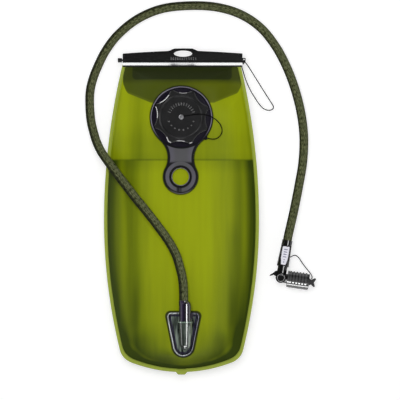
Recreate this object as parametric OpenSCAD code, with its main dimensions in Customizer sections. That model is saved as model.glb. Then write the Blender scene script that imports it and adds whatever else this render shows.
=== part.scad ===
// Hydration bladder, lying on its back: a welded film bag with a fold-over slide closure, a screw-capped
// fill port with a ring handle, a plug-in drink port, a covered drink hose and a bite valve.
// X runs across the bag, Y from its foot to its closure, Z up from the floor that it lies on.

/* [Bag] */
// Widest width of the bag, over its weld
bag_w = 201.6; // [194:0.2:210]
// Width of the bag where it enters the closure
mouth_w = 152.4; // [146:0.2:153]
// Width of the bag at its foot corners
foot_w = 154.6; // [148:0.2:162]
// Thickness of the filled bag
bag_t = 38; // [37:0.5:42]
// Height of the welded seam above the floor
seam_z = 19; // [18.8:0.1:20]
// Width of the weld
weld_w = 5; // [3.5:0.5:6]
// Thickness of one film
film_t = 0.7; // [0.5:0.1:0.8]
// How far the sides roll off from the flat top
side_roll = 45; // [38:1:46]
// How far the foot rolls off from the flat top
foot_roll = 18; // [14:1:22]
// Width of the hang tab at the foot
tab_w = 12; // [8:1:16]
// How far the hang tab stands out of the foot
tab_l = 3.3; // [2:0.1:5]

/* [Closure] */
// Radius of the closure rod
rod_r = 2.6; // [2.2:0.1:2.8]
// Radius of the rod's end knob
knob_r = 2.85; // [2.4:0.05:3]
// Length of the rod's end knob
knob_l = 5.4; // [4:0.1:7]
// Length of the slider
slider_l = 155.6; // [155.2:0.2:158]
// Thickness of the fold flap, two films together
flap_t = 0.8; // [0.6:0.1:1]
// How much narrower the flap is than the slider
flap_play = 4; // [2:0.2:9]
// Width of the stiffener strip in the flap
strip_w = 129; // [120:1:136]
// Width of the finger hole in the slider
hang_w = 23.8; // [20:0.2:28]
// Height of the finger hole in the slider
hang_h = 8.2; // [7:0.2:8.6]
// Running gap of the slider over the films and the rod
slide_gap = 0.35; // [0.3:0.05:0.5]

/* [Fill port] */
// Radius of the fill flange
flange_r = 40.3; // [39:0.1:42]
// Thickness of the fill flange
flange_t = 2.2; // [1.6:0.2:3]
// Height of the flange's rim above the film
rim_h = 5.5; // [4:0.5:7]
// Inner radius of the filler neck
neck_r = 23; // [21:0.5:24]
// Wall of the filler neck
neck_wall = 3; // [2.4:0.2:3.2]
// Height of the filler neck above the film
neck_h = 13; // [12:0.5:15]
// Radius of the ring handle's eye
eye_r = 10.8; // [9:0.1:12]
// Outer radius of the ring handle
ring_r = 22.3; // [20:0.1:24]
// Distance from the filler neck to the handle's eye
handle_l = 77; // [72:1:82]
// Thickness of the handle
handle_t = 4.5; // [3.5:0.5:6]
// Radius of the cap over its corners
cap_r = 36.5; // [35:0.1:37.2]
// Number of grips round the cap
cap_grips = 8; // [6:1:10]

/* [Drink port] */
// Length of the port's shield
shield_l = 58; // [54:1:62]
// Width of the port's shield at its shoulders
shield_w = 43.2; // [39:0.2:46]
// Thickness of the port's shield
shield_t = 1.6; // [1.2:0.1:2.2]
// Radius of the plug's body
plug_r = 7.8; // [7.5:0.1:8.2]
// Length of the plug outside the socket
plug_l = 27; // [25:0.2:30]
// Radius of the plug's nose
nose_r = 5.9; // [5:0.1:6.2]
// Length of the plug's nose
nose_l = 14; // [12:0.5:16]
// Travel of the plug out of its socket
plug_travel = 18; // [16:0.5:20]
// Travel of the release button
button_travel = 1.5; // [1:0.1:2]

/* [Hose and valve] */
// Outer diameter of the hose in its cover
hose_d = 11.5; // [10:0.1:12.2]
// Length of the valve's sleeve
sleeve_l = 28.5; // [27:0.5:34]
// Radius of the valve's sleeve
sleeve_r = 7.4; // [7:0.1:8]
// Radius of the swivel's spigot
spigot_r = 4.5; // [4:0.1:4.8]
// Length of the dirt shield
cover_l = 28.4; // [26:0.2:32]
// Radius of the dirt shield over its ribs
cover_r = 11; // [10.4:0.1:11.2]
// Number of ribs round the dirt shield's length
cover_ribs = 6; // [4:1:7]
// Radius of the mouthpiece
mouth_r = 8.4; // [7.8:0.1:8.6]

/* [Hidden] */
$fn = 64;
fit = 0.06;              // radial gap of a running fit
air = 0.3;               // gap between pieces that pass each other
cord_d = 1.3;            // lanyard and leashes

// Bag: places along Y
foot_y = -208.7;
foot_rise = 17.3;        // how far the foot corners lie above the foot's middle
wide_y = -12;            // where the bag is widest
rod_y = 196.6;
hem_r = rod_r + 0.5;     // the flap's hem round the rod
film_y = rod_y - hem_r - air;
front_roll = 25;         // roll-off of the front film below the closure
back_roll = 56;          // the back film lifts over a longer stretch, above the folded flap
corner_foot = 12;
corner_flat = 24;
flap_gap = 0.25;         // between the back film and the flap behind it
closure_run = 45;        // stretch below the closure where the films lie flat
roll_steps = [0, 0.04, 0.1, 0.2, 0.31, 0.5, 0.7, 0.85, 1];
slot_top = seam_z + film_t + slide_gap;
slot_low = seam_z - film_t - flap_gap - flap_t - slide_gap;
rod_z = (slot_top + slot_low) / 2;

// Half of the bag's width at a height y
function half_w(y) = y > wide_y
    ? bag_w / 2 - (bag_w - mouth_w) / 2 * pow((y - wide_y) / (film_y - wide_y), 2)
    : bag_w / 2 - (bag_w - foot_w) / 2 * pow((wide_y - y) / (wide_y - foot_y - foot_rise), 2);
function bezier(a, b, c, n) = [for (i = [0 : n - 1]) let (t = i / n)
    pow(1 - t, 2) * a + 2 * t * (1 - t) * b + t * t * c];
function smooth(t) = let (c = min(1, max(0, t))) c * c * (3 - 2 * c);
function mix(a, b, t) = a + (b - a) * t;

// Right half of the bag's outline, from its top to its foot, drawn in by so much at side, foot and top
function half_outline(side, foot, top, corner_top, corner, tab = 0) = let (
    top_y = film_y - top,
    corner_y = foot_y + foot_rise + foot,
    corner_x = half_w(corner_y) - side,
    side_at = function (y) [half_w(y) - side, y],
    foot_at = function (x) [x, foot_y + foot + foot_rise * pow(x / corner_x, 2)
        - tab * smooth((tab_w / 2 + 2 - abs(x)) / 4)],
    from = top_y - corner_top,
    to = corner_y + corner)
    concat(
        bezier([half_w(top_y) - side - corner_top, top_y], side_at(top_y), side_at(from), 6),
        [for (i = [0 : 10]) side_at(mix(from, to, i / 11))],
        bezier(side_at(to), [corner_x, corner_y], foot_at(corner_x - corner), 6),
        [for (f = [1, 0.75, 0.5]) foot_at(mix(tab_w / 2 + 2, corner_x - corner, f))],
        [for (f = [1, 0.6, 0.2]) foot_at((tab_w / 2 + 2) * f)]);
function both_halves(half) = concat(half,
    [for (i = [len(half) - 1 : -1 : 0]) [-half[i][0], half[i][1]]]);
function raised(ring, z) = [for (p = ring) [p[0], p[1], z]];

// Surface of one film as rings, from its outer edge to the flat middle; depth is signed
function film_rings(depth, top_roll, start) = let (
    edge = both_halves(half_outline(0, 0, 0, 3, corner_foot, tab_l)),
    weld = both_halves(half_outline(weld_w, weld_w, weld_w, 3, corner_foot)),
    flat = both_halves(half_outline(weld_w + side_roll, weld_w + foot_roll, weld_w + top_roll,
        corner_flat, corner_flat)))
    concat([raised(edge, start)],
        [for (t = roll_steps)
            [for (i = [0 : len(weld) - 1]) let (
                p = mix(weld[i], flat[i], t),
                topness = smooth((weld[i][1] - (film_y - closure_run)) / (closure_run - 15)),
                lift = mix(1 - pow(1 - t, 2), smooth(t), topness))
                [p[0], p[1], start + depth * lift]]]);
function reversed(list) = [for (i = [len(list) - 1 : -1 : 0]) list[i]];

// Closed body through rings of equally many points, capped at both ends
module loft(rings) {
    n = len(rings[0]);
    m = len(rings);
    points = [for (ring = rings) each ring];
    sides = [for (k = [0 : m - 2]) for (i = [0 : n - 1]) let (
        a = k * n + i, b = k * n + (i + 1) % n, c = b + n, d = a + n)
        each [[a, b, c], [a, c, d]]];
    low = [[for (i = [n - 1 : -1 : 0]) i]];
    high = [[for (i = [0 : n - 1]) (m - 1) * n + i]];
    polyhedron(points, concat(low, sides, high));
}

// Rounded path through points, k steps to each stretch
function rounded(p, k) = let (last = len(p) - 1)
    concat([for (i = [0 : last - 1]) for (j = [0 : k - 1]) let (
        t = j / k, a = p[max(0, i - 1)], b = p[i], c = p[i + 1], d = p[min(last, i + 2)])
        0.5 * (2 * b + (c - a) * t + (2 * a - 5 * b + 4 * c - d) * t * t
            + (3 * b - a - 3 * c + d) * t * t * t)], [p[last]]);
function unit(v) = v / norm(v);
// Tube along points, with its own turn of the first and last ring where they meet a face
function tube_rings(p, r, n) = [for (i = [0 : len(p) - 1]) let (
    along = unit(p[min(len(p) - 1, i + 1)] - p[max(0, i - 1)]),
    side = unit(cross(along, [0, 0, 1])),
    up = cross(side, along))
    [for (j = [0 : n - 1]) p[i] + r * (cos(360 * j / n) * side + sin(360 * j / n) * up)]];
module tube(points, d, k, n) {
    loft(tube_rings(rounded(points, k), d / 2, n));
}
// Turns a shape that stands on Z so that it lies along Y, towards +Y or -Y
module along_y() {
    rotate([-90, 0, 0]) children();
}
// Profile of Y and Z drawn along X
module along_x(length) {
    rotate([90, 0, 90]) linear_extrude(length) children();
}

// Fill port
fill_y = 122;
film_hole_r = neck_r + 1;
rim_w = 2.2;
neck_out = neck_r + neck_wall;
handle_z = bag_t + 1;
handle_tilt = -0.8;
waist_r = 30.7;          // concave sides between flange and ring
edge_w = 1.2;            // bevel along the handle's upper edge
edge_h = 0.6;
gasket_t = 1.5;
cap_low = bag_t + flange_t + 1;
cap_in_r = neck_out + 0.4;
cap_under = bag_t + neck_h + 0.1 + gasket_t;
cap_top = cap_under + 3;
cap_ridge = 0.8;
scallop_in = 31.3;       // how near the cap's axis the grips reach
scallop_half = 180 / cap_grips - 3;
scallop_x = cap_r * cos(scallop_half);
scallop_y = cap_r * sin(scallop_half);
scallop_d = (scallop_x * scallop_x + scallop_y * scallop_y - scallop_in * scallop_in)
    / (2 * (scallop_x - scallop_in));
pin_r = 1.6;
pin_head_r = 3.2;
pin_head_z = cap_top + cap_ridge + 0.1;

// Drink port: the shield's middle, and the axis of plug and socket to the right of it
port_x = 2.4;
plug_x = port_x + 2.5;
hose_x = plug_x - 2;     // the hose enters the plug off its axis
socket_y = -142;         // mouth of the socket
plug_seat = 4;           // how deep the plug's body enters the socket
shield_top = -129.9;
shield_rim = 3.8;        // width of the shield's rounded rim
shield_rim_h = 4.6;
shield_bottom_h = 0.6;   // of the rim's upright foot
lobe_r = 14;
lobe_y = shield_top - shield_l + lobe_r;
shoulder_r = 7;
house_wall = 1.1;
house_r = plug_r + air + house_wall;
plug_z = bag_t + house_r + 0.6;
house_end_r = 6.7;
house_l = 29.6;
nose_y = socket_y - plug_seat + air;     // where the nose leaves the plug's body
tip_r = 3.8;
tip_l = 4;
tip_hole_r = 1.1;
seat_y = nose_y - nose_l - 0.8;
seat_l = 2.5;
seat_r = tip_r + 0.4;
chamber_y = seat_y - seat_l;
chamber_l = 9.6;
poppet_r = 4.8;
chamber_r = poppet_r + air;
poppet_t = 2;
poppet_travel = 3;
seal_t = 1;
stem_r = 2;
water_r = 3.4;
bore_r = 3;              // water way through plug and valve
groove_w = 2;
ring_wire = 0.9;         // half the thickness of an O-ring
groove_y = nose_y - 5;
collar_l = 6.6;
collar_r = hose_d / 2 + 0.3;
button_w = 6.6;
button_l = 7.4;
button_y = socket_y + 3.6 + button_l / 2;
button_out = plug_r + 2.6;               // how far the button stands from the plug's axis
button_floor = 4.2;      // where its pocket ends
button_spring_l = 2.4;
spring_wire = 0.6;

// Valve: the elbow's centre, the sleeve's and the mouthpiece's directions
elbow = [129.1, -86.3, cover_r + 0.1];
sleeve_turn = -10.2;      // the sleeve runs up from the elbow along Y, turned so much about Z
mouth_turn = -8.2;       // the mouthpiece runs along X, turned so much about Z
elbow_r = 6.6;
sleeve_from = 15;        // distance from the elbow's centre
ferrule_l = 6;
ferrule_from = sleeve_from + sleeve_l + 0.1;
hose_end = ferrule_from + ferrule_l;
hose_lead = 6;           // straight run of the hose before its ferrule
cover_from = 8.7;
cover_in_r = mouth_r + air;
stub_r = 4.4;

module sleeve_frame() {
    translate(elbow) rotate([0, 0, sleeve_turn]) along_y() children();
}
module mouth_frame() {
    translate(elbow) rotate([0, 0, mouth_turn]) rotate([0, 90, 0]) children();
}
function on_sleeve(s) = elbow + s * [-sin(sleeve_turn), cos(sleeve_turn), 0];

// Routes of the hose, the lanyard and the leashes
hose_start = [hose_x, socket_y + plug_l, plug_z];
hose_route = concat([hose_start, hose_start + [0, 9, -0.3]], [
    [1.6, -88, 46], [-2, -72, 44.8], [-7, -56, 44.4], [-16, -39, 44.3], [-31, -18, 44.3], [-45, 0, 44.3],
    [-58, 16, 44], [-69, 30, 42.6], [-79, 43, 39.8], [-88, 55, 35.6], [-97, 67, 30.2], [-105, 79, 23],
    [-111, 92, 15.5], [-115, 105, 9.8], [-118, 118, 6.8], [-119.6, 135, 6], [-119.4, 155, 6], [-115.8, 172, 6],
    [-108.4, 191, 6], [-98, 211, 6], [-81.6, 231.8, 6], [-56.6, 251.4, 6], [-25.8, 264.2, 6], [10, 268.3, 6],
    [45.6, 266.4, 6], [77, 257, 6], [103, 239.6, 6], [122.6, 215.4, 6], [137.4, 187.6, 6], [148.4, 158, 6],
    [156, 127, 6], [159.4, 96, 6], [158, 64, 6], [152.6, 32, 6.4], [146.2, 0, 8.4], [141, -22.6, 10.2]],
    [on_sleeve(hose_end + hose_lead), on_sleeve(hose_end)]);
slider_x0 = -76.4;
lug_x = slider_x0 + slider_l;
flap_w = slider_l - flap_play;
flap_x = slider_x0 + slider_l / 2 - 0.25;            // middle of the flap, inside the slider
flap_side = 15.5;        // how far the flap's side corners lie above its free edge
flap_corner = 6;
flap_edge_w = 72;        // straight part of the flap's free edge
strip_t = 0.6;
strip_corner = 6;
lanyard_route = [[lug_x - 1, rod_y - 7.8, rod_z - 2.4], [79.6, 184.4, 15.9], [83, 173, 15.3], [88.5, 160, 14.5],
    [94.5, 149.5, 13.8], [102, 138.6, 13.2], [107.6, 133.4, 13], [113, 131.8, 12.9], [117.4, 132.4, 12.9],
    [119.6, 135.2, 13], [118.6, 138.6, 13.1], [112, 149, 13.8], [105.3, 159.5, 14.7], [94.4, 176.8, 16.5],
    [87, 188.5, 17.7], [lug_x + 3.4, rod_y - 2.4, rod_z]];
cap_leash_route = [[pin_head_r, fill_y + 0.8, pin_head_z + 0.9], [12, 124.4, pin_head_z + 1],
    [24, 125.6, pin_head_z + 1], [34, 124, pin_head_z + 0.5], [41, 121, 53.5], [47, 116.4, 48],
    [51.5, 110, 43.5], [52.6, 104, 41], [50.4, 98.6, 40], [45.5, 94.6, 40], [40, 93.8, 40.3], [33.9, 94.9, 40.7]];
shield_leash_route = [[141.7, -59.6, 11.1], [145.2, -57.6, 11], [148.6, -57.2, 10.6], [152.6, -60.2, 10],
    [157.4, -67.2, 9.4], [162.8, -74.4, 9.2], [167.2, -79.8, 9.6], [169.7, -83.8, 10.2], [170, -86.4, 10.8],
    [169.3, -88.35, 11.1]];

film_colour = [0.6, 0.66, 0.14];
dark_plastic = [0.1, 0.1, 0.11];
violet_plastic = [0.3, 0.28, 0.34];
grey_plastic = [0.42, 0.46, 0.43];

// One film between its upper and its lower surface
module film(depth, roll, low) {
    loft(concat(reversed(film_rings(depth, roll, low)), film_rings(depth, roll, low + film_t)));
}
module front_film() {
    color(film_colour) difference() {
        film(bag_t - seam_z - film_t, front_roll, seam_z);
        translate([0, fill_y, bag_t - 2]) cylinder(h = 4, r = film_hole_r);
        translate([plug_x, chamber_y - chamber_l / 2, bag_t - 2]) cylinder(h = 4, r = water_r + air);
    }
}

module back_film() {
    color(film_colour) film(film_t - seam_z, back_roll, seam_z - film_t);
}

// Underside of the back film along its middle, at a share t of its roll-off
function back_under(t) = [film_y - weld_w - back_roll * t, (seam_z - film_t) * (1 - smooth(t))];
// Layer that follows the back film at a depth below it, over a run of the roll-off's steps
module layer_profile(depth, thick, from, to) {
    line = [for (i = [from : to]) back_under(roll_steps[i]) - [0, depth]];
    polygon(concat(line, reversed([for (p = line) p - [0, thick]])));
}

module fold_flap() {
    edge_y = back_under(0.85)[0] + 0.1;      // free edge of the flap
    side_y = edge_y + flap_side;
    half = concat([[flap_w / 2, rod_y + hem_r + 1]],
        bezier([flap_w / 2, side_y + flap_corner], [flap_w / 2, side_y], [flap_w / 2 - flap_corner, side_y - 3], 6),
        bezier([flap_w / 2 - flap_corner, side_y - 3], [flap_edge_w / 2 + 6, edge_y + 0.6],
            [flap_edge_w / 2, edge_y], 5), [[flap_edge_w / 2, edge_y]]);
    slot_y = back_under(0)[0];
    sheet_z = seam_z - film_t - flap_gap - flap_t;
    color([0.35, 0.4, 0.08]) intersection() {
        translate([flap_x - flap_w / 2, 0, 0]) along_x(flap_w) {
            difference() {
                union() {
                    translate([rod_y, rod_z]) circle(hem_r);
                    translate([slot_y - 0.01, sheet_z]) square([rod_y - hem_r - slot_y + 0.5, flap_t]);
                }
                translate([rod_y, rod_z]) circle(rod_r + fit);
            }
            layer_profile(flap_gap, flap_t, 0, 7);
        }
        translate([flap_x, 0, -1]) linear_extrude(bag_t) polygon(both_halves(half));
    }
}

module mouth_stiffener() {
    low = back_under(roll_steps[4])[0];
    high = back_under(roll_steps[1])[0];
    r = strip_corner;
    color([0.16, 0.19, 0.07]) intersection() {
        translate([flap_x - strip_w / 2, 0, 0]) along_x(strip_w)
            layer_profile(flap_gap + flap_t + 0.05, strip_t, 1, 4);
        translate([flap_x, 0, 0]) linear_extrude(bag_t) polygon(both_halves(concat(
            [[strip_w / 2, high + 1], [strip_w / 2, low + r]],
            bezier([strip_w / 2, low + r - 0.1], [strip_w / 2, low - 0.1], [strip_w / 2 - r, low - 0.1], 6),
            [[strip_w / 2 - r, low - 0.1]])));
    }
}

module closure_rod() {
    end_gap = 1;         // between the rod's full thickness and each end of the slider's bore
    rod_l = slider_l - end_wall - 2 * end_gap;
    color(dark_plastic) translate([slider_x0, rod_y, rod_z]) rotate([0, 90, 0]) {
        translate([0, 0, end_gap]) cylinder(h = rod_l, r = rod_r);
        translate([0, 0, -end_gap - 0.2]) cylinder(h = 2 * end_gap + 1, r = rod_r / 2);
        translate([0, 0, -end_gap - knob_l]) cylinder(h = knob_l, r = knob_r);
    }
}

// Slider: a C-channel over rod and fold, with a bevelled lip along its mouth and a crown for the fingers
crown_x = 2.5;
crown_rise = 15.4;       // of the crown above the rod's axis
crown_y = rod_y + crown_rise;
crown_w = 39;
crown_h = 3;
shoulder_drop = 4;       // how far the slider's ends lie below the crown's foot
lip_reach = 8.8;         // from the rod's axis to the lips' edge
ledge_w = 2.1;           // dark ledge along the upper lip's edge
bevel_w = 3.3;           // bright bevel above that ledge
top_h = 6.3;             // of the slider's face above the rod's axis
under_h = 6;             // of its underside below it
hang_rise = 8.5;         // of the finger hole's middle above the rod
function slider_top(x) = let (u = abs(x - crown_x) / (slider_l / 2 + crown_x))
    crown_y - crown_h - shoulder_drop * pow(min(1, u), 1.5)
        + crown_h * smooth((crown_w / 2 - abs(x - crown_x)) / 8);
end_wall = 1.2;          // closes the slider's right end and stops it against the rod
module slider_section() {
    ledge_y = ledge_w - lip_reach;
    bevel_h = bevel_w * tan(26);
    translate([rod_y, rod_z]) polygon([
        [-lip_reach, -under_h + 3], [-lip_reach, top_h - bevel_h - 2], [-lip_reach + 0.7, top_h - bevel_h - 1],
        [ledge_y, top_h - bevel_h - 0.6], [ledge_y, top_h - bevel_h], [ledge_y + bevel_w, top_h],
        [hang_rise, top_h - 0.6], [crown_rise - 0.8, top_h - 2.1], [crown_rise, top_h - 2.9],
        [crown_rise, 1 - under_h + 4], [crown_rise - 0.8, -under_h + 4], [hang_rise, -under_h + 1.4],
        [ledge_y, -under_h], [-lip_reach + 1, -under_h + 1]]);
}
module slider() {
    steps = 48;
    lug_l = 4.6;
    lug_t = 3;
    lug_w = 8.4;
    color(dark_plastic) difference() {
        union() {
            intersection() {
                translate([slider_x0, 0, 0]) along_x(slider_l) slider_section();
                linear_extrude(bag_t) polygon(concat(
                    [[lug_x, rod_y - lip_reach - 1], [slider_x0, rod_y - lip_reach - 1]],
                    [for (i = [0 : steps]) let (x = slider_x0 + slider_l * i / steps) [x, slider_top(x)]]));
            }
            difference() {
                translate([lug_x - 0.5, rod_y + 3 - lug_w, rod_z - lug_t / 2]) cube([lug_l, lug_w, lug_t]);
                translate([lug_x + lug_l - 0.5, rod_y + 2.8 - lug_w, rod_z - lug_t]) cylinder(h = 2 * lug_t, r = 2.4);
                translate([lug_x + 2, rod_y + 1, rod_z - lug_t]) cylinder(h = 2 * lug_t, r = 0.9);
            }
        }
        translate([slider_x0 - 1, 0, 0]) along_x(slider_l + 1 - end_wall) {
            translate([rod_y, rod_z]) circle(hem_r + slide_gap);
            translate([rod_y - lip_reach - 1, slot_low]) square([lip_reach + 1, slot_top - slot_low]);
        }
        translate([crown_x - 0.5, rod_y + hang_rise, 0]) linear_extrude(bag_t)
            polygon([for (a = [0 : 10 : 350]) [hang_w / 2 * cos(a), hang_h / 2 * sin(a)]]);
    }
}

module slider_lanyard() {
    color("black") tube(lanyard_route, cord_d, 2, 8);
}

// Fill base: flange with rim and neck, and a flat handle that ends in a ring
// Middle of the concave side at -X or +X; it runs 0.1 into the flange and the ring
function handle_waist(side) = let (
    a = flange_r + waist_r - 0.1,
    b = ring_r + waist_r - 0.1,
    y = (a * a - b * b + handle_l * handle_l) / (2 * handle_l))
    [side * sqrt(a * a - y * y), -y];
module handle_web() {
    difference() {
        polygon([[0, 0], handle_waist(-1), [0, -handle_l], handle_waist(1)]);
        for (s = [-1, 1])
            translate(handle_waist(s)) circle(waist_r);
    }
}
module fill_base() {
    slit_w = 2.8;
    handle_top = handle_z - bag_t + handle_t;
    lug_turn = -40.6;
    lug_r = 2.6;
    rim_in = flange_r - rim_w;
    color(violet_plastic) translate([0, fill_y, bag_t]) difference() {
        union() {
            rotate_extrude() polygon([[neck_r - 0.1, 0], [flange_r, 0], [flange_r, rim_h - 0.5],
                [flange_r - 0.8, rim_h], [rim_in + 0.3, rim_h], [rim_in, rim_h - 0.3], [rim_in, flange_t],
                [neck_out, flange_t], [neck_out, neck_h], [neck_r - 0.1, neck_h]]);
            translate([0, 0, handle_z - bag_t]) rotate([0, 0, handle_tilt]) {
                translate([0, -handle_l, 0]) rotate_extrude() polygon([[0, 0], [ring_r, 0],
                    [ring_r, handle_t - edge_h], [ring_r - edge_w, handle_t], [0, handle_t]]);
                difference() {
                    linear_extrude(handle_t) handle_web();
                    translate([0, 0, -1]) cylinder(h = handle_t + 2, r = flange_r - rim_w / 2);
                    for (s = [-1, 1])
                        translate(concat(handle_waist(s), handle_t - edge_h))
                            cylinder(h = 2 * edge_h, r1 = waist_r, r2 = waist_r + 2 * edge_w);
                }
            }
            rotate([0, 0, lug_turn]) translate([flange_r + 0.8, 0, 1]) cylinder(h = 3, r = lug_r);
        }
        translate([0, 0, -1]) cylinder(h = neck_h + 2, r = neck_r);
        rotate([0, 0, handle_tilt]) translate([0, -handle_l, 0]) {
            cylinder(h = handle_t + 3, r = eye_r);
            translate([0, 0, handle_top - 1.2]) cylinder(h = 1.3, r1 = eye_r, r2 = eye_r + 0.8);
            translate([0, 0, handle_top - 0.9]) difference() {
                cylinder(h = 1.5, r = eye_r + 3.1);
                translate([0, 0, -1]) cylinder(h = 3, r = eye_r + 1.7);
            }
            translate([-slit_w / 2 - 0.6, -ring_r + 2.4, handle_top - 2.2]) cube([slit_w, ring_r, 3]);
        }
    }
}

module fill_cap() {
    h = cap_top - cap_low;
    under = cap_under - cap_low;
    bevel = 1.5;
    ridge_r = 27.2;
    scallop_r = scallop_d - scallop_in;
    color(dark_plastic) translate([0, fill_y, cap_low]) difference() {
        difference() {
            rotate_extrude() polygon([[cap_in_r, 0], [cap_r - 0.6, 0], [cap_r, 0.6], [cap_r, h - 1.2],
                [cap_r - 0.35, h - 0.6], [cap_r - bevel, h], [ridge_r + 1.6, h], [ridge_r + 0.7, h + cap_ridge],
                [ridge_r - 0.7, h + cap_ridge], [ridge_r - 1.6, h],
                [pin_r + fit, h], [pin_r + fit, under], [cap_in_r, under]]);
            round_scallops() translate([0, 0, -1]) cylinder(h = h + 2, r = scallop_r);
        }
        // Their upper edges are eased by cones, cut after the scallops themselves
        round_scallops() translate([0, 0, h - 1]) cylinder(h = 1.2, r1 = scallop_r - 0.15, r2 = scallop_r + 1.3);
    }
}
module round_scallops() {
    for (i = [0 : cap_grips - 1])
        rotate([0, 0, (i + 0.5) * 360 / cap_grips + 20]) translate([scallop_d, 0, 0]) children();
}

module cap_gasket() {
    color([0.75, 0.75, 0.72]) translate([0, fill_y, cap_under - gasket_t]) difference() {
        cylinder(h = gasket_t, r = neck_out + 0.2);
        translate([0, 0, -1]) cylinder(h = gasket_t + 2, r = neck_r - 0.4);
    }
}

module cap_pin() {
    foot_t = 1;
    foot_z = cap_under - foot_t - 0.1;
    color([0.7, 0.7, 0.7]) translate([0, fill_y, foot_z]) rotate_extrude() polygon([[0, 0], [2.6, 0],
        [2.6, foot_t], [pin_r, foot_t], [pin_r, pin_head_z - foot_z], [pin_head_r, pin_head_z - foot_z],
        [pin_head_r, pin_head_z - foot_z + 1], [pin_head_r - 1, pin_head_z - foot_z + 1.8],
        [0, pin_head_z - foot_z + 2]]);
}

module cap_leash() {
    color("black") tube(cap_leash_route, cord_d, 2, 8);
}

// Drink port: a shield with a rounded rim, round a socket that lies along Y
shield_circles = [[port_x - shield_w / 2 + shoulder_r, shield_top - shoulder_r, shoulder_r],
    [port_x + shield_w / 2 - shoulder_r, shield_top - shoulder_r, shoulder_r], [port_x, lobe_y, lobe_r]];
// Outline round those three circles, drawn in by an inset, at a height z
function shield_ring(inset, z) = [for (a = [354 : -6 : 0]) let (
    d = [cos(a), sin(a)],
    reach = [for (c = shield_circles) c[0] * d[0] + c[1] * d[1] + c[2]],
    k = reach[0] == max(reach) ? 0 : reach[1] == max(reach) ? 1 : 2,
    c = shield_circles[k])
    [c[0] + (c[2] - inset) * d[0], c[1] + (c[2] - inset) * d[1], z]];
module shield() {
    half = shield_rim / 2;
    loft(concat([shield_ring(0, bag_t), shield_ring(0, bag_t + shield_bottom_h)],
        [for (a = [15 : 15 : 165]) shield_ring(half - half * cos(a),
            bag_t + shield_bottom_h + (shield_rim_h - shield_bottom_h) * sin(a))
        ], [shield_ring(shield_rim, bag_t + shield_t)]));
}
module port_base() {
    end_y = socket_y - house_l;
    mouth_lip = 1.6;
    foot_r = house_end_r - 0.6;      // of the pedestal under the housing
    pass_r = house_r + 1;            // half of the gap that the plug passes in the rim
    color(grey_plastic) difference() {
        union() {
            shield();
            translate([plug_x, end_y, plug_z]) along_y() {
                cylinder(h = house_l, r1 = house_end_r, r2 = house_r);
                translate([0, 0, house_l - mouth_lip]) cylinder(h = mouth_lip, r = house_r + 0.4);
                sphere(house_end_r);
            }
            translate([plug_x, 0, bag_t + 0.1]) linear_extrude(plug_z - bag_t - 0.4) {
                polygon([[-foot_r, end_y], [foot_r, end_y], [foot_r + house_r - house_end_r, socket_y - 0.3],
                    [-foot_r - house_r + house_end_r, socket_y - 0.3]]);
                translate([0, end_y]) circle(foot_r);
            }
        }
        translate([plug_x - pass_r, socket_y, bag_t + shield_t + 0.1]) cube([2 * pass_r, 20, 20]);
        translate([plug_x, 0, plug_z]) along_y() {
            translate([0, 0, socket_y - plug_seat]) cylinder(h = plug_seat + 1, r = plug_r + air);
            translate([0, 0, seat_y]) cylinder(h = socket_y - seat_y, r = nose_r + fit);
            translate([0, 0, chamber_y - 1]) cylinder(h = seat_l + 2, r = seat_r);
            translate([0, 0, chamber_y - chamber_l]) cylinder(h = chamber_l, r = chamber_r);
        }
        translate([plug_x, chamber_y - chamber_l / 2, bag_t - 1]) cylinder(h = plug_z - bag_t, r = water_r);
    }
}

poppet_y = chamber_y - poppet_travel - seal_t - 0.1;     // front face of the poppet's disc
module port_poppet() {
    stem_end = nose_y - nose_l - 0.1;
    color([0.85, 0.85, 0.85]) translate([plug_x, 0, plug_z]) along_y() {
        translate([0, 0, poppet_y - poppet_t]) cylinder(h = poppet_t, r = poppet_r);
        translate([0, 0, poppet_y - 0.5]) cylinder(h = stem_end - poppet_y + 0.5, r = stem_r);
    }
}
module poppet_seal() {
    color([0.15, 0.15, 0.15]) translate([plug_x, poppet_y, plug_z]) along_y() difference() {
        cylinder(h = seal_t, r = poppet_r);
        translate([0, 0, -1]) cylinder(h = seal_t + 2, r = stem_r + 0.05);
    }
}
// Open coil along Z
module coil(r, wire, length, turns) {
    loft(tube_rings([for (i = [0 : turns * 12]) [r * cos(30 * i), r * sin(30 * i),
        wire / 2 + (length - wire) * i / (turns * 12)]], wire / 2, 6));
}
module port_spring() {
    low = chamber_y - chamber_l;
    length = poppet_y - poppet_t - low;
    color("silver") translate([plug_x, low + 0.05, plug_z]) along_y() coil(3.8, spring_wire, length - 0.1, 4);
}

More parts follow.
